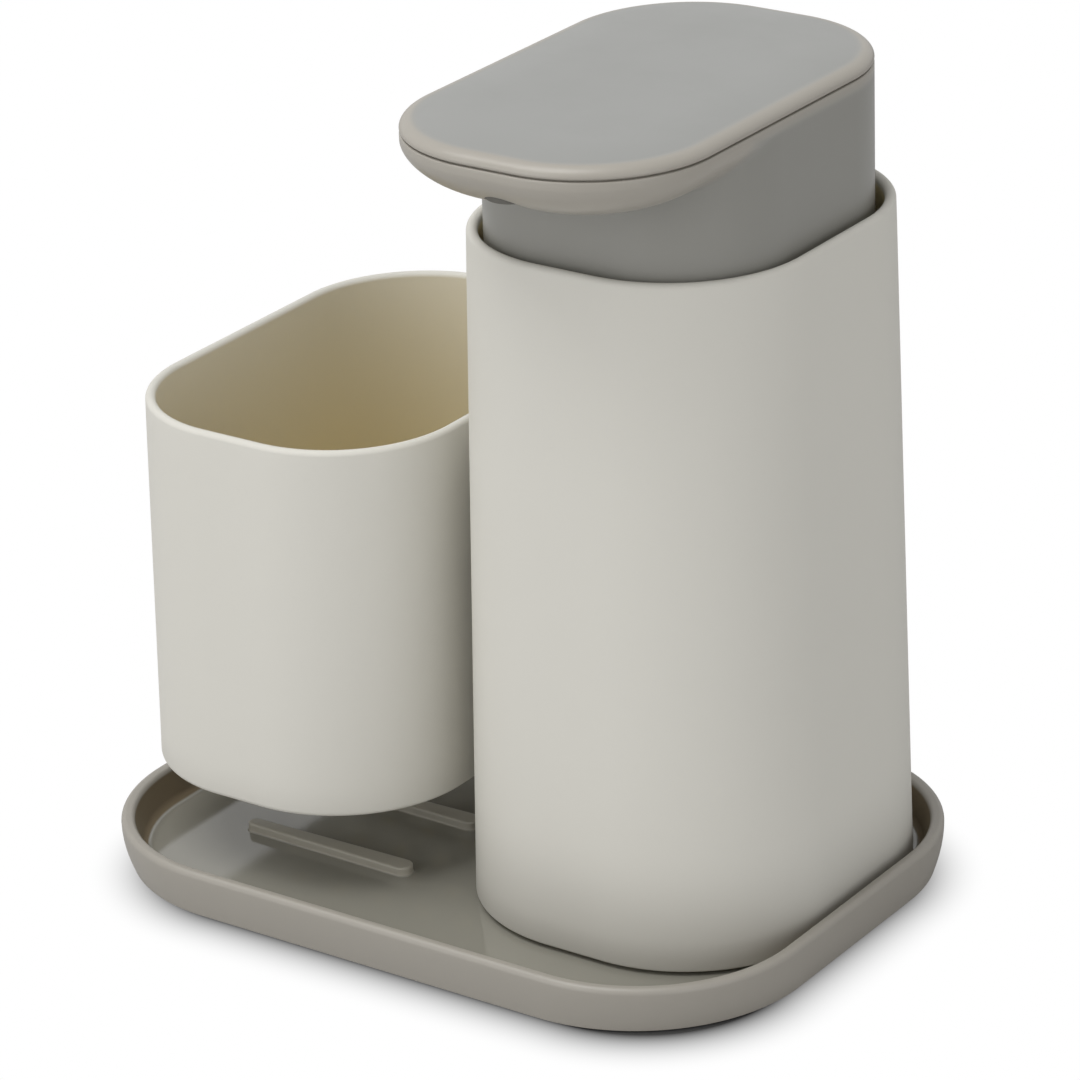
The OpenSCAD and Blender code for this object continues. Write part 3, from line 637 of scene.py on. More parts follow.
tray = {
    "cornerRadius": 35.7 * mm,
    "flare": 1.2 * mm,
    "rimWidth": 3.0 * mm,
    "rimRound": 1.2 * mm,
    "rimOuterDrop": 1.32 * mm,
    "rimInnerDrop": 1.44 * mm,
    "rimInnerRun": 1.08 * mm,
    "rimSink": 0.1 * mm,
    "wallDraft": 1.2 * mm,
    "filletRadius": 2.4 * mm,
    "filletSteps": 10,
    "edgeRadius": 0.35 * mm,
    "edgeSteps": 8,
    "sideSteps": 6,
    "footSpread": 0.25 * mm,
    "footProud": 0.3 * mm,
    "footCorner": 2.0 * mm,
    "floorRing": 0.5 * mm,
    "padRadius": 7.02 * mm,
    "padDepth": 0.9 * mm,
    "padInset": 26 * mm,
    "padSteps": 16,
    "ribCount": 3,
    "ribPitch": 24.8 * mm,
    "ribRowY": -0.8 * mm,
    "ribLength": 42.4 * mm,
    "ribWidth": 4.6 * mm,
    "ribTipWidth": 3.2 * mm,
    "ribHeight": 2.0 * mm,
    "ribRoot": 0.4 * mm,
    "ribRound": 0.5 * mm,
    "ribRoundSteps": 8,
    "ribFoot": 0.8 * mm,
    "ribFootSteps": 6,
    "ribCrease": 0.75,
    "ribEndX": -13.0 * mm,
    "ribEndSteps": 16,
    "toneReach": 0.25 * mm,
    "toneBelowRim": (0.4 * mm, 1.6 * mm),
    "toneUnder": 0.5 * mm,
    "toneBand": 0.6 * mm,
    "wallPolish": (0.6 * mm, 0.15 * mm),
    "flatPolish": (0.4 * mm, 0.1 * mm),
    "ribTone": (0.1 * mm, 0.3 * mm),
}
trayFloor = gripLow.z
trayOutline = section(
    0, 0, trayHigh.x - tray["flare"], trayHigh.y - tray["flare"], tray["cornerRadius"],
)
rimEdge = tray["flare"] - tray["rimWidth"]
wallFoot = rimEdge - tray["wallDraft"]
floorEdge = wallFoot - tray["filletRadius"]


# The profile runs from the underside up the bulging outside, over the rim and down to the floor;
# the corners grow rounder towards the foot
def trayShell(shape):
    bottom = shape["footProud"]
    top = trayHigh.z
    flare = shape["flare"]
    edge = shape["edgeRadius"]
    edgeSteps = shape["edgeSteps"]
    spread = shape["footSpread"]
    underside = np.concatenate([
        [(-edge - overrun, bottom)],
        quarterArc((spread - edge, bottom), (spread, bottom + edge), edgeSteps),
    ])
    rise = np.linspace(0, 1, shape["sideSteps"] + 1)[1:-1]
    bulge = 1 - (1 - rise) ** 2
    sideLow = bottom + edge
    sideHigh = top - shape["rimOuterDrop"]
    side = [spread + (flare - spread) * bulge, sideLow + (sideHigh - sideLow) * rise]
    profile = np.concatenate([
        underside,
        np.stack(side, axis=1),
        quarterArc((flare, sideHigh), (flare - shape["rimRound"], top), edgeSteps, out=False),
        quarterArc(
            (rimEdge + shape["rimInnerRun"], top - shape["rimSink"]),
            (rimEdge, top - shape["rimInnerDrop"]),
            edgeSteps,
        ),
        quarterArc(
            (wallFoot, trayFloor + shape["filletRadius"]),
            (floorEdge, trayFloor),
            shape["filletSteps"],
            out=False,
        ),
        [(floorEdge - shape["floorRing"], trayFloor)],
    ])
    sections = grown(trayOutline, profile[:, 0])
    rounder = np.concatenate([np.ones(len(underside)), 1 - bulge])
    sections[:len(rounder), 4] += shape["footCorner"] * rounder
    return gridMesh("dripTray", sectionRings(sections, profile[:, 1]))


# Insets and levels of a rib's rings: the root in the floor, the hollow foot, which starts at a
# crease, the side and the rounded top
def ribProfile(shape):
    crease = shape["ribCrease"]
    foot = shape["ribFoot"]
    topRound = shape["ribRound"]
    footTurn = np.linspace(crease, math.pi / 2, shape["ribFootSteps"] + 1)
    turn = np.linspace(0, math.pi / 2, shape["ribRoundSteps"] + 1)
    footInset = -foot * (1 - np.sin(footTurn))
    insets = np.concatenate([footInset[:1], footInset, topRound * (1 - np.cos(turn))])
    rise = np.concatenate([
        [-shape["ribRoot"]],
        foot * (np.cos(crease) - np.cos(footTurn)),
        shape["ribHeight"] - topRound + topRound * np.sin(turn),
    ])
    return insets, trayFloor + rise


# A rib's outline is two half circles joined by flats; it is drawn in by the inset at each level
def ribRings(shape, y, insets, levels):
    half = np.linspace(-math.pi / 2, math.pi / 2, shape["ribEndSteps"] + 1)
    near = shape["ribWidth"] / 2 - insets[:, None]
    far = shape["ribTipWidth"] / 2 - insets[:, None]
    nearX = shape["ribEndX"] - shape["ribWidth"] / 2
    farX = shape["ribEndX"] - shape["ribLength"] + shape["ribTipWidth"] / 2
    x = np.concatenate([nearX + near * np.cos(half), farX - far * np.cos(half)], axis=1)
    rise = np.concatenate([near * np.sin(half), -far * np.sin(half)], axis=1)
    z = np.broadcast_to(levels[:, None], x.shape)
    return np.stack([x, y + rise, z], axis=2)


# Distance of points from the line where the flat floor ends
def beyondFloor(points, shape):
    return sectionDistance(points[:, :2], grown(trayOutline, floorEdge - shape["toneBand"]))


# The shell with its ribs added and the pockets of the foot pads cut out
def makeTray(shape):
    piece = trayShell(shape)
    insets, levels = ribProfile(shape)
    for index in range(shape["ribCount"]):
        y = shape["ribRowY"] + (index - (shape["ribCount"] - 1) / 2) * shape["ribPitch"]
        combine(piece, gridMesh("rib", ribRings(shape, y, insets, levels)), "UNION")
    bottom = shape["footProud"]
    padX, padY = trayOutline[2:4] - shape["padInset"]
    padLevels = [bottom - overrun, bottom + shape["padDepth"]]
    for side in (-1, 1):
        for end in (-1, 1):
            pad = (side * padX, end * padY, shape["padRadius"])
            combine(piece, rod("pad", *pad, padLevels, shape["padSteps"]), "DIFFERENCE")

    # One on the flat floor, a half on the wall up to the rim, where the wall colour is painted
    # shade, nothing on the ribs and outside
    def shadedWallAndPolishedFloor(points):
        height = points[:, 2] - trayFloor
        reach = sectionDistance(points[:, :2], grown(trayOutline, rimEdge + shape["toneReach"]))
        belowRim = ease(trayHigh.z - points[:, 2], *shape["toneBelowRim"])
        isInside = (reach < 0) * (height > -shape["toneUnder"]) * belowRim
        onWall = 0.5 + 0.5 * ease(height, *shape["wallPolish"])
        onFlat = ease(height, *shape["flatPolish"])
        return isInside * np.where(beyondFloor(points, shape) > 0, onWall, onFlat)

    # The ribs, as whatever stands on the floor away from the wall, where their paler colour is
    # painted light
    def paintedLightOnRibs(points):
        height = points[:, 2] - trayFloor
        return (beyondFloor(points, shape) < 0) * ease(height, *shape["ribTone"])

    mark(piece, "inner", shadedWallAndPolishedFloor)
    mark(piece, "rib", paintedLightOnRibs)
    dress(piece, ["drip_tray"], "tray_plastic", "tray")


makeTray(tray)

sleeve = {
    "cornerRadius": 29.9 * mm,
    "flare": 3.1 * mm,
    "wall": 2.3 * mm,
    "ledgeWidth": 4.0 * mm,
    "ledgeDrop": 4.0 * mm,
    "ledgeRing": 0.3 * mm,
    "baseBore": 8.5 * mm,
    "baseStep": 1.0 * mm,
    "footRound": 0.5 * mm,
    "footSteps": 5,
    "sideInset": 6 * mm,
    "sideCount": 12,
    "hangerHeight": 25 * mm,
    "hangerDrop": 6 * mm,
    "hangerEdge": 0.3 * mm,
    "hookWidth": 24 * mm,
    "hookThickness": 0.9 * mm,
    "hookNeck": 12 * mm,
    "hookClear": 0.25 * mm,
    "lipThickness": 0.8 * mm,
    "lipCover": 4.5 * mm,
    "channelWall": 2.0 * mm,
    "channelCut": 9 * mm,
    "channelEdge": 0.1 * mm,
    "toneLevels": (0.9 * mm, 2.2 * mm),
    "toneReach": 0.7,
}
bodyX = (deckLow.x + deckHigh.x) / 2
bodyY = (bodyLow.y + bodyHigh.y) / 2
bodyHeight = bodyHigh.z - bodyLow.z
mouth = section(
    bodyX,
    bodyY,
    bodyHigh.x - bodyX - sleeve["flare"],
    bodyHigh.y - bodyY - sleeve["flare"],
    sleeve["cornerRadius"],
)


# Growth of the sleeve's outer wall, which widens evenly from the mouth down
def sleeveGrowth(z):
    return sleeve["flare"] * (bodyHigh.z - z) / bodyHeight


# The sleeve's left face at a height
def sleeveLeft(z):
    return mouth[0] - mouth[2] - sleeveGrowth(z)


# The profile goes up the outside, over the rim, down past the ledge and back to the foot
def sleeveShell(shape):
    wall = shape["wall"]
    flare = shape["flare"]
    top = bodyHigh.z
    bottom = bodyLow.z
    ledgeTop = deckLow.z
    ledgeUnder = ledgeTop - shape["ledgeDrop"]
    ledgeEdge = -wall - shape["ledgeWidth"]
    baseTop = bottom + shape["baseBore"]
    foot = shape["footRound"]
    bore = flare - wall
    inset = shape["sideInset"]
    toneEnd = shape["toneLevels"][1]
    sideLevels = np.linspace(bottom + inset, top - inset, shape["sideCount"])
    profile = np.concatenate([
        quarterArc((flare - foot, bottom), (flare, bottom + foot), shape["footSteps"]),
        np.stack([sleeveGrowth(sideLevels), sideLevels], axis=1),
        rimArc(top, wall),
        [
            (-wall, top - toneEnd),
            (-wall, top - 2 * toneEnd),
            (-wall, ledgeTop + shape["ledgeRing"]),
            (-wall, ledgeTop),
            (ledgeEdge, ledgeTop),
            (ledgeEdge, ledgeUnder),
            (sleeveGrowth(ledgeUnder) - wall, ledgeUnder - shape["ledgeWidth"]),
            (bore - shape["baseStep"], baseTop),
            (bore, baseTop),
            (bore, bottom),
        ],
    ])
    rings = sectionRings(grown(mouth, profile[:, 0]), profile[:, 1])
    return gridMesh("dispenserSleeve", rings, closed=True)


# The channel is a block on the left wall, hollowed for the hook and slotted for the hook's neck
def makeChannel(shape):
    top = potHigh.z - shape["hangerDrop"]
    bottom = top - shape["hangerHeight"]
    floorZ = bottom + shape["channelWall"]
    pocketHalf = shape["hookWidth"] / 2 + shape["hookClear"]
    outerHalf = pocketHalf + shape["channelWall"]
    slotHalf = shape["hookWidth"] / 2 - shape["lipCover"]
    lipX = hookFace + shape["hookClear"]
    root = sleeveLeft(top) + shape["wall"] / 2
    cutX = root + shape["channelCut"]
    channel = roundedBlock(
        "channel",
        (lipX, bodyY - outerHalf, bottom),
        (root, bodyY + outerHalf, top),
        shape["hangerEdge"],
    )
    for name, half, startX in (
        ("pocket", pocketHalf, lipX + shape["lipThickness"]),
        ("slot", slotHalf, lipX - overrun),
    ):
        low = (startX, bodyY - half, floorZ)
        high = (cutX, bodyY + half, top + overrun)
        combine(channel, roundedBlock(name, low, high, shape["channelEdge"]), "DIFFERENCE")
    return channel


# The shell with the channel added
def makeSleeve(shape):
    piece = sleeveShell(shape)
    combine(piece, makeChannel(shape), "UNION")

    # Inside the mouth, where painted shade makes the plastic darker and browner
    def paintedMouthShade(points):
        growth = sleeveGrowth(points[:, 2]) - shape["wall"] * shape["toneReach"]
        reach = sectionDistance(points[:, :2], grown(mouth, growth))
        return (reach < 0) * ease(bodyHigh.z - points[:, 2], *shape["toneLevels"])

    mark(piece, "inner", paintedMouthShade)
    dress(piece, ["dispenser_body"], "body_plastic", "dispenser")


pot = {
    "cornerRadius": 28.6 * mm,
    "flare": 1.4 * mm,
    "wall": 2.2 * mm,
    "floor": 2.4 * mm,
    "floorRing": 0.5 * mm,
    "edgeRadius": 1.0 * mm,
    "edgeSteps": 8,
    "cornerSteps": 10,
    "sideInset": 6 * mm,
    "sideCount": 10,
    "gap": 3.0 * mm,
    "drainRadius": 2.1 * mm,
    "drainPitch": 11 * mm,
    "drainSpan": 2,
    "drainSteps": 8,
    "neckEdge": 0.05 * mm,
    "neckOverlap": 0.3 * mm,
    "hookEdge": 0.3 * mm,
    "toneLevels": (0.2 * mm, 2.5 * mm),
    "toneUnder": 1.2 * mm,
}
potHeight = potHigh.z - potLow.z
hookFace = sleeveLeft(potHigh.z) - pot["gap"]


# The pot's left wall leans out downwards by its flare, and its right wall runs along the sleeve
def potSection(z, growth=0.0):
    flare = pot["flare"] * (potHigh.z - z) / potHeight
    left = potLow.x + pot["flare"] - flare - growth
    right = sleeveLeft(z) - pot["gap"] + growth
    halfY = potHigh.y - bodyY - pot["flare"] + flare + growth
    radius = pot["cornerRadius"] + flare + growth
    return section((left + right) / 2, bodyY, (right - left) / 2, halfY, radius)


# Rows of the outline's height, its growth and the ring's level run from under the floor up the
# outside, over the rim and down to the floor inside
def potShell(shape):
    top = potHigh.z
    bottom = potLow.z
    wall = shape["wall"]
    edge = shape["edgeRadius"]
    inside = bottom + shape["floor"]
    inset = shape["sideInset"]
    under = quarterArc((-edge, bottom), (0, bottom + edge), shape["edgeSteps"])
    corner = quarterArc(
        (-wall, inside + wall), (-2 * wall, inside), shape["cornerSteps"], out=False,
    )
    side = np.linspace(bottom + inset, top - inset, shape["sideCount"])
    rows = [(bottom, -edge - overrun, bottom)]
    rows += [(bottom, growth, level) for growth, level in under]
    rows += [(level, 0.0, level) for level in side]
    rows += [(top, growth, level) for growth, level in rimArc(top, wall)]
    rows += [(inside, growth, level) for growth, level in corner]
    rows += [(inside, -2 * wall - shape["floorRing"], inside)]
    sections = np.array([potSection(z, growth) for z, growth, level in rows])
    return gridMesh("brushPot", sectionRings(sections, [row[2] for row in rows]))


# The neck stands out from the right wall, and the wider hook hangs at its end
def makeHook(shape):
    top = potHigh.z - sleeve["hangerDrop"]
    bottom = top - sleeve["hangerHeight"] + sleeve["channelWall"] + sleeve["hookClear"]
    plateX = hookFace + 2 * sleeve["hookClear"] + sleeve["lipThickness"]
    halfNeck = sleeve["hookNeck"] / 2
    halfHook = sleeve["hookWidth"] / 2
    root = sleeveLeft(bottom) - shape["gap"] - shape["wall"] / 2
    neck = roundedBlock(
        "neck",
        (root, bodyY - halfNeck, bottom),
        (plateX + shape["neckOverlap"], bodyY + halfNeck, top),
        shape["neckEdge"],
    )
    hook = roundedBlock(
        "hook",
        (plateX, bodyY - halfHook, bottom),
        (plateX + sleeve["hookThickness"], bodyY + halfHook, top),
        shape["hookEdge"],
    )
    combine(neck, hook, "UNION")
    return neck


# The shell with its drain holes cut out and the hook added
def makePot(shape):
    piece = potShell(shape)
    top = potHigh.z
    bottom = potLow.z
    middleX = potSection((top + bottom) / 2)[0]
    levels = [bottom - overrun, bottom + shape["floor"] + overrun]
    span = range(-shape["drainSpan"], shape["drainSpan"] + 1)
    for column in span:
        for row in span:
            x = middleX + column * shape["drainPitch"]
            y = bodyY + row * shape["drainPitch"]
            drain = rod("drain", x, y, shape["drainRadius"], levels, shape["drainSteps"])
            combine(piece, drain, "DIFFERENCE")
    combine(piece, makeHook(shape), "UNION")

    # One inside the pot, where painted shade makes the plastic a darker tan, fading out over the
    # rim
    def paintedPotShade(points):
        share = (points[:, 2:3] - bottom) / potHeight
        low, high = (potSection(z, -shape["wall"] / 2) for z in (bottom, top))
        reach = sectionDistance(points[:, :2], low * (1 - share) + high * share)
        isAbove = points[:, 2] > bottom + shape["toneUnder"]
        return (reach < 0) * isAbove * ease(top - points[:, 2], *shape["toneLevels"])

    mark(piece, "inner", paintedPotShade)
    dress(piece, ["brush_pot"], "body_plastic", "pot")


makeSleeve(sleeve)
makePot(pot)

head = {
    "cornerRadius": 26.8 * mm,
    "cornerSteps": 48,
    "overhang": 27.7 * mm,
    "frontSharper": 2.1 * mm,
    "shellWall": 1.8 * mm,
    "lipBand": 1.8 * mm,
    "keelDepth": 10 * mm,
    "keelRun": 18.7 * mm,
    "keelPower": 1.68,
    "keelSteps": 22,
    "keelStepsInside": 10,
    "blendPerTurn": 16 * mm,
    "blendMost": 4 * mm,
    "filletHeight": 2.2 * mm,
    "filletRun": 9 * mm,
    "skirtInset": 3 * mm,
    "skirtCount": 4,
    "seamSlot": 0.2 * mm,
    "seamEdge": 0.35 * mm,
    "seamDepth": 1.0 * mm,
    "seamSteps": 4,
    "capRound": 3.0 * mm,
    "capRoundSteps": 24,
    "capCrown": 0.8 * mm,
    "capCrownRun": 12 * mm,
    "capCrownPower": 2.2,
    "capCrownSteps": 16,
    "capLipHeight": 1.6 * mm,
    "capLipWidth": 1.2 * mm,
    "capLipClear": 0.1 * mm,
    "capEdgeSteps": 5,
    "capCornerSteps": 56,
    "outletRadius": 5.0 * mm,
    "outletLevels": (20 * mm, 1.0 * mm),
    "outletSteps": 12,
    "nozzleSetback": 8.1 * mm,
    "farthest": 0.2,
    "halvings": 30,
    "paintedWarmReach": (0.3 * mm, 4 * mm),
    "paintedWarmLevels": (13 * mm, 8 * mm),
    "paintedWarmTop": (3 * mm, 1 * mm),
    "paintedWarmEdge": (-1.15, -0.6),
}
seamZ = shellHigh.z
halfHeadX = (shellHigh.x - shellLow.x) / 2
halfSlabY = (shellHigh.y - shellLow.y) / 2
slabY = (shellLow.y + shellHigh.y) / 2
slab = section(bodyX, slabY, halfHeadX, halfSlabY, head["cornerRadius"])
skirt = section(bodyX, bodyY, halfHeadX, halfSlabY - head["overhang"] / 2, head["cornerRadius"])


# Each ring point is where a ray from the slab's middle leaves the smooth union of skirt and slab;
# the union is smoothed by how far the two outlines' directions differ, up to the widest blend.
# The skirt's front corners are a little sharper than its back ones
def headRings(skirts, slabs, levels, shape):
    origin = slab[:2]
    outlines = sectionRings(np.array([slab, skirt]), [0.0, 0.0], shape["cornerSteps"])
    rays = (outlines[..., :2] - origin).reshape(-1, 2)
    angle = np.unique(np.round(np.arctan2(rays[:, 1], rays[:, 0]), 3))
    rays = np.stack([np.cos(angle), np.sin(angle)], axis=1)
    near = np.zeros((len(levels), len(rays)))
    far = np.full_like(near, shape["farthest"])
    first = np.asarray(skirts)[:, None]
    second = np.asarray(slabs)[:, None]
    sharper = np.array([0, 0, 0, 0, shape["frontSharper"]])
    for halving in range(shape["halvings"]):
        middle = (near + far) / 2
        points = origin + middle[..., None] * rays
        front = np.where(points[..., 1:2] < skirt[1], first - sharper, first)
        a = sectionDistance(points, front)
        b = sectionDistance(points, second)
        turn = 1 - (sectionNormal(points, front) * sectionNormal(points, second)).sum(axis=-1)
        spread = np.minimum(turn * shape["blendPerTurn"], shape["blendMost"])
        join = np.maximum(spread - np.abs(a - b), 0) / np.maximum(spread, 1e-9)
        isInside = np.minimum(a, b) - join * join * spread / 4 < 0
        near = np.where(isInside, middle, near)
        far = np.where(isInside, far, middle)
    points = origin + near[..., None] * rays
    z = np.broadcast_to(np.asarray(levels, float)[:, None, None], points.shape[:2] + (1,))
    return np.concatenate([points, z], axis=2)


# Depth of the head's underside below the seam, at a distance in from its edge: a lip and then a
# superellipse
def keelDepthAt(distance, shape):
    share = np.clip(1 - distance / shape["keelRun"], 0, 1)
    power = shape["keelPower"]
    return shape["lipBand"] + shape["keelDepth"] * (1 - share ** power) ** (1 / power)


# Insets and levels from the skirt's foot up through the fillet and round the underside to the seam
def headProfile(wall, steps, shape):
    run = shape["keelRun"]
    keelZ = seamZ - shape["lipBand"] - shape["keelDepth"] + wall
    turn = np.linspace(0, math.pi / 2, steps + 1)
    skirtInset = run + shape["filletRun"] + shape["skirtInset"]
    skirtLevel = np.linspace(shellLow.z, keelZ - shape["filletHeight"], shape["skirtCount"])
    filletLevel = keelZ - shape["filletHeight"] * (1 - np.sin(turn[:-1]))
    filletInset = run + shape["filletRun"] * np.cos(turn[:-1])
    keelInset = wall + (run - wall) * (1 - np.sin(turn))
    keelLevel = seamZ - keelDepthAt(keelInset, shape) + wall
    insets = np.concatenate([np.full(len(skirtLevel), skirtInset), filletInset, keelInset])
    return insets, np.concatenate([skirtLevel, filletLevel, keelLevel])


# The outer rings end in the seam's rounded edge and slot; the inner rings run back down
def makeHeadShell(shape):
    slot = shape["seamSlot"]
    wall = shape["shellWall"]
    depth = shape["seamDepth"]
    outerInset, outerLevel = headProfile(0.0, shape["keelSteps"], shape)
    innerInset, innerLevel = headProfile(wall, shape["keelStepsInside"], shape)
    edge = np.linspace(0, math.pi / 2, shape["seamSteps"] + 1)
    topInset = shape["seamEdge"] * (1 - np.cos(edge))
    topLevel = seamZ - slot - shape["seamEdge"] * (1 - np.sin(edge))
    insets = np.concatenate([outerInset, topInset, [depth, depth, wall]])
    levels = np.concatenate([outerLevel, topLevel, [seamZ - slot, seamZ, seamZ]])
    skirtInsets = np.minimum(insets, wall) * (levels > seamZ - shape["lipBand"])
    outer = headRings(grown(skirt, -skirtInsets), grown(slab, -insets), levels, shape)
    innerSkirt = grown(skirt, np.full(len(innerInset), -wall))
    inner = headRings(innerSkirt, grown(slab, -innerInset), innerLevel, shape)
    piece = gridMesh("headShell", np.concatenate([outer, inner[::-1]]), closed=True)
    nozzleY = shellLow.y + shape["nozzleSetback"]
    holeLevels = [seamZ - drop for drop in shape["outletLevels"]]
    hole = rod(
        "outlet", bodyX, nozzleY, shape["outletRadius"], holeLevels, shape["outletSteps"],
    )
    combine(piece, hole, "DIFFERENCE")

    # Beige on the overhang, painted as warm light bounced from the sleeve; the skirt below it takes
    # the darker skirt colour, which is painted shade
    def paintedWarmLight(points):
        drop = seamZ - points[:, 2]
        reach = sectionDistance(points[:, :2], skirt)
        overhang = ease(reach, *shape["paintedWarmReach"]) * ease(drop, *shape["paintedWarmLevels"])
        return np.maximum(overhang, ease(drop, *shape["paintedWarmTop"]))

    mark(piece, "inner", paintedWarmLight)
    mark(piece, "skirt", lambda points: 1 - paintedWarmLight(points))
    dress(piece, ["head_shell"], "head_plastic", "press_head")


# The cap's lip hangs in the shell; its edge is a quarter ellipse that runs into a shallow crown
def makeHeadCap(shape):
    slot = shape["seamSlot"]
    depth = shape["seamDepth"]
    seamEdge = shape["seamEdge"]
    lip = shape["shellWall"] + shape["capLipClear"]
    lipEnd = lip + shape["capLipWidth"]
    low = seamZ - shape["capLipHeight"]
    edge = np.linspace(0, math.pi / 2, shape["capEdgeSteps"] + 1)
    turn = np.linspace(0, math.pi / 2, shape["capRoundSteps"] + 1)[1:]
    run = np.linspace(0, 1, shape["capCrownSteps"] + 1)[1:]
    roundFoot = seamZ + slot + seamEdge
    roundTop = capHigh.z - shape["capCrown"]
    insets = np.concatenate([
        [lipEnd, lipEnd, lip, lip, depth, depth],
        seamEdge * (1 - np.sin(edge)),
        shape["capRound"] * (1 - np.cos(turn)),
        shape["capRound"] + shape["capCrownRun"] * run,
    ])
    levels = np.concatenate([
        [seamZ, low, low, seamZ, seamZ, seamZ + slot],
        seamZ + slot + seamEdge * (1 - np.cos(edge)),
        roundFoot + (roundTop - roundFoot) * np.sin(turn),
        capHigh.z - shape["capCrown"] * (1 - run) ** shape["capCrownPower"],
    ])
    rings = sectionRings(grown(slab, -insets), levels, shape["capCornerSteps"])
    piece = gridMesh("headCap", rings)

    # Beige on the rounded edge, painted as warm light and highlight, neutral on the top
    def paintedWarmLight(points):
        reach = sectionDistance(points[:, :2], slab)
        return ease(reach / shape["capRound"], *shape["paintedWarmEdge"])

    mark(piece, "inner", paintedWarmLight)
    dress(piece, ["head_cap"], "head_plastic", "press_head")


makeHeadShell(head)
makeHeadCap(head)

spring = {
    "wireRadius": 0.6 * mm,
    "meanRadius": 6.7 * mm,
    "turns": 7,
    "length": 25 * mm,
    "stroke": 12 * mm,
    "stepsPerTurn": 40,
    "sides": 12,
}


# The wire's circle is carried along an even helix, from one end of the spring's box to the other
def makeSpring(shape):
    low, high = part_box("return_spring")
    wire = shape["wireRadius"]
    share = np.linspace(0, 1, shape["turns"] * shape["stepsPerTurn"] + 1)[:, None]
    angle = share * shape["turns"] * 2 * math.pi
    around = np.linspace(0, 2 * math.pi, shape["sides"], endpoint=False)
    radius = shape["meanRadius"] + wire * np.cos(around)
    x = (low.x + high.x) / 2 + radius * np.cos(angle)
    y = (low.y + high.y) / 2 + radius * np.sin(angle)
    z = low.z + wire + (high.z - low.z - 2 * wire) * share + wire * np.sin(around)
    piece = gridMesh("returnSpring", np.stack([x, y, z], axis=2)[:, ::-1])
    dress(piece, ["return_spring"], "spring_steel", "pump_unit")
    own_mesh(piece)


makeSpring(spring)

stage = {
    "floorSize": 14.0,
    "floorColour": 0.60,
    "shadowColour": 0.10,
    "shadowShift": (4.2 * mm, -5.0 * mm),
    "shadowStart": 6.2 * mm,
    "shadowWidth": 16 * mm,
    "shadowPower": 2.2,
    "worldHorizon": 0.85,
    "worldZenith": 0.42,
    "worldGlossy": 0.95,
    "aim": (0, 0, 0.08),
    "keyPlace": (-0.35, -0.40, 1.55),
    "keySize": 1.0,
    "keyPower": 14.0,
    "frontPlace": (-0.35, -1.35, 0.45),
    "frontSize": 0.9,
    "frontPower": 4.0,
    "fillPlace": (1.20, -0.45, 0.28),
    "fillSize": 0.7,
    "fillPower": 1.9,
}


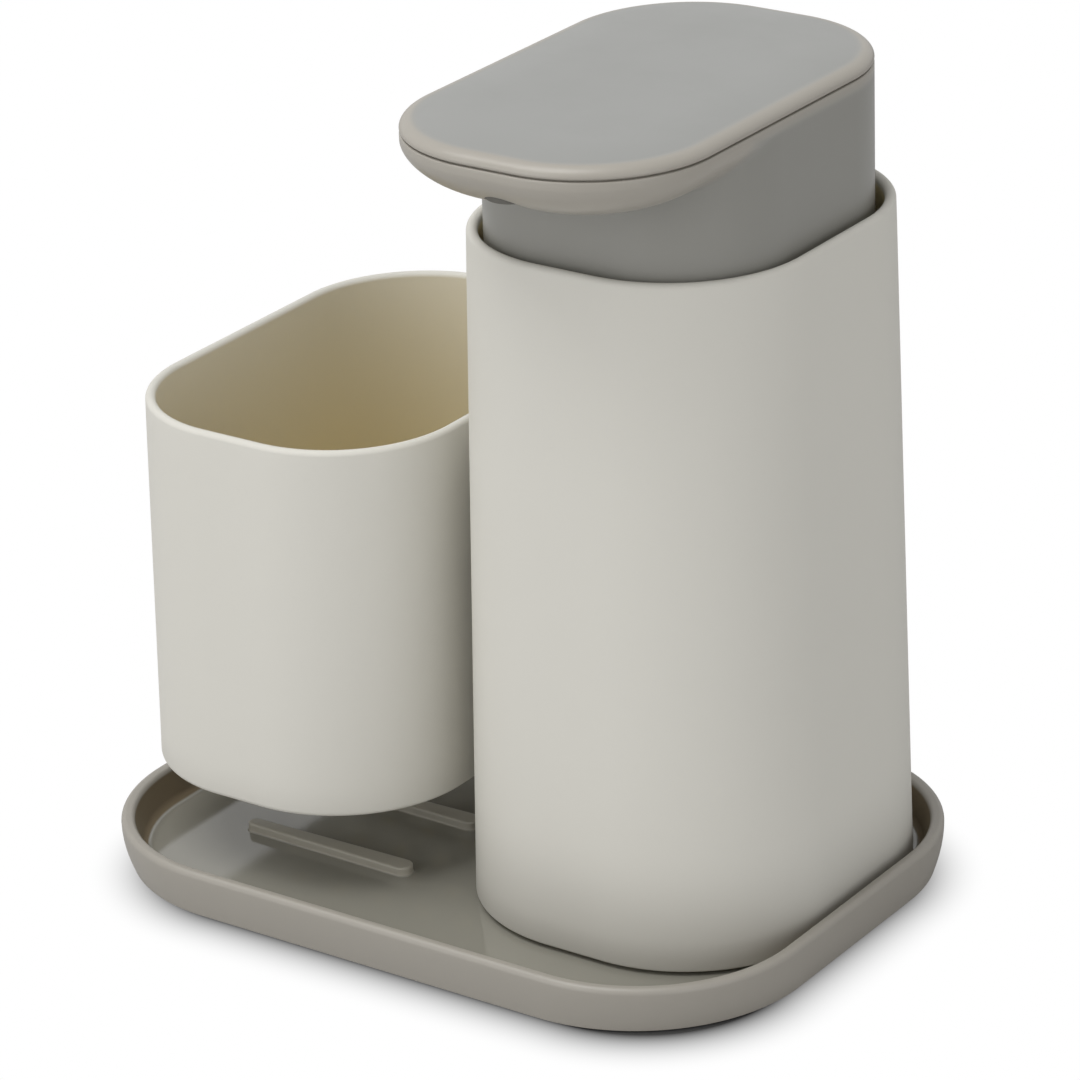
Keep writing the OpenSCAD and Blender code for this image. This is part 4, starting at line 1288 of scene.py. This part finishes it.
# The floor is pale; to the camera it darkens close to the tray and fades into white further out, by
# the distance from the tray's outline (past the corner's centre, less the corner's radius), which
# is moved a little towards the front right, where the real shadow falls
def floorMaterial(paint, shape):
    place = paint.place()
    radius = tray["cornerRadius"]
    past = []
    for index, shift in enumerate(shape["shadowShift"]):
        offset = paint.math("ABSOLUTE", paint.axis(place, index) - shift)
        flat = float(trayOutline[2 + index]) - radius
        past.append(paint.math("MAXIMUM", offset - flat, 0.0))
    distance = (past[0] * past[0] + past[1] * past[1]) ** 0.5 - radius
    fade = 1 - (distance + shape["shadowStart"]) * (1 / shape["shadowWidth"])
    clipped = paint.math("MINIMUM", paint.math("MAXIMUM", fade, 0.0), 1.0)
    shadow = clipped ** shape["shadowPower"]
    isCamera = paint.node("ShaderNodeLightPath", output=0)
    tone = shape["floorColour"] + isCamera * (shape["shadowColour"] - shape["floorColour"])
    shade = paint.node("ShaderNodeCombineColor", None, {0: tone, 1: tone, 2: tone})
    pale = paint.node("ShaderNodeBsdfDiffuse", None, {"Color": shade})
    white = paint.node("ShaderNodeEmission", None, {"Strength": 1.0})
    sockets = {0: (1 - shadow) * isCamera, 1: pale, 2: white}
    mixed = paint.node("ShaderNodeMixShader", None, sockets)
    paint.node("ShaderNodeOutputMaterial", None, {"Surface": mixed})


# One large square at table height
def makeFloor(shape):
    half = shape["floorSize"] / 2
    corners = [(-half, -half, 0), (half, -half, 0), (half, half, 0), (-half, half, 0)]
    mesh = bpy.data.meshes.new("floor")
    mesh.from_pydata(corners, [], [(0, 1, 2, 3)])
    floor = bpy.data.objects.new("floor", mesh)
    bpy.context.scene.collection.objects.link(floor)
    material = bpy.data.materials.new("paleFloor")
    material.use_nodes = True
    floorMaterial(Paint(material.node_tree), shape)
    mesh.materials.append(material)


# A square lamp that looks at the middle of the object
def makeLamp(shape, name):
    data = bpy.data.lights.new(name + "Lamp", "AREA")
    data.shape = "SQUARE"
    data.size = shape[name + "Size"]
    data.energy = shape[name + "Power"]
    lamp = bpy.data.objects.new(name + "Lamp", data)
    place = shape[name + "Place"]
    aim = Vector(shape["aim"]) - Vector(place)
    lamp.rotation_euler = aim.to_track_quat("-Z", "Y").to_euler()
    lamp.location = place
    bpy.context.scene.collection.objects.link(lamp)


# White to the camera, nearly white in reflections; as light it dims from the horizon up
def makeWorld(shape):
    world = bpy.data.worlds.new("studio")
    bpy.context.scene.world = world
    world.use_nodes = True
    paint = Paint(world.node_tree)
    direction = paint.node("ShaderNodeTexCoord", output=0)
    rise = paint.math("MAXIMUM", paint.axis(direction, 2), 0.0)
    soft = shape["worldHorizon"] + rise * (shape["worldZenith"] - shape["worldHorizon"])
    isCamera = paint.node("ShaderNodeLightPath", output=0)
    isGlossy = paint.node("ShaderNodeLightPath", output=3)
    glow = soft + isGlossy * (shape["worldGlossy"] - soft)
    strength = paint.math("MAXIMUM", glow, isCamera)
    background = paint.node("ShaderNodeBackground", None, {"Strength": strength})
    paint.node("ShaderNodeOutputWorld", None, {"Surface": background})


makeFloor(stage)
for lampName in ("key", "front", "fill"):
    makeLamp(stage, lampName)
makeWorld(stage)
print("stage lit")
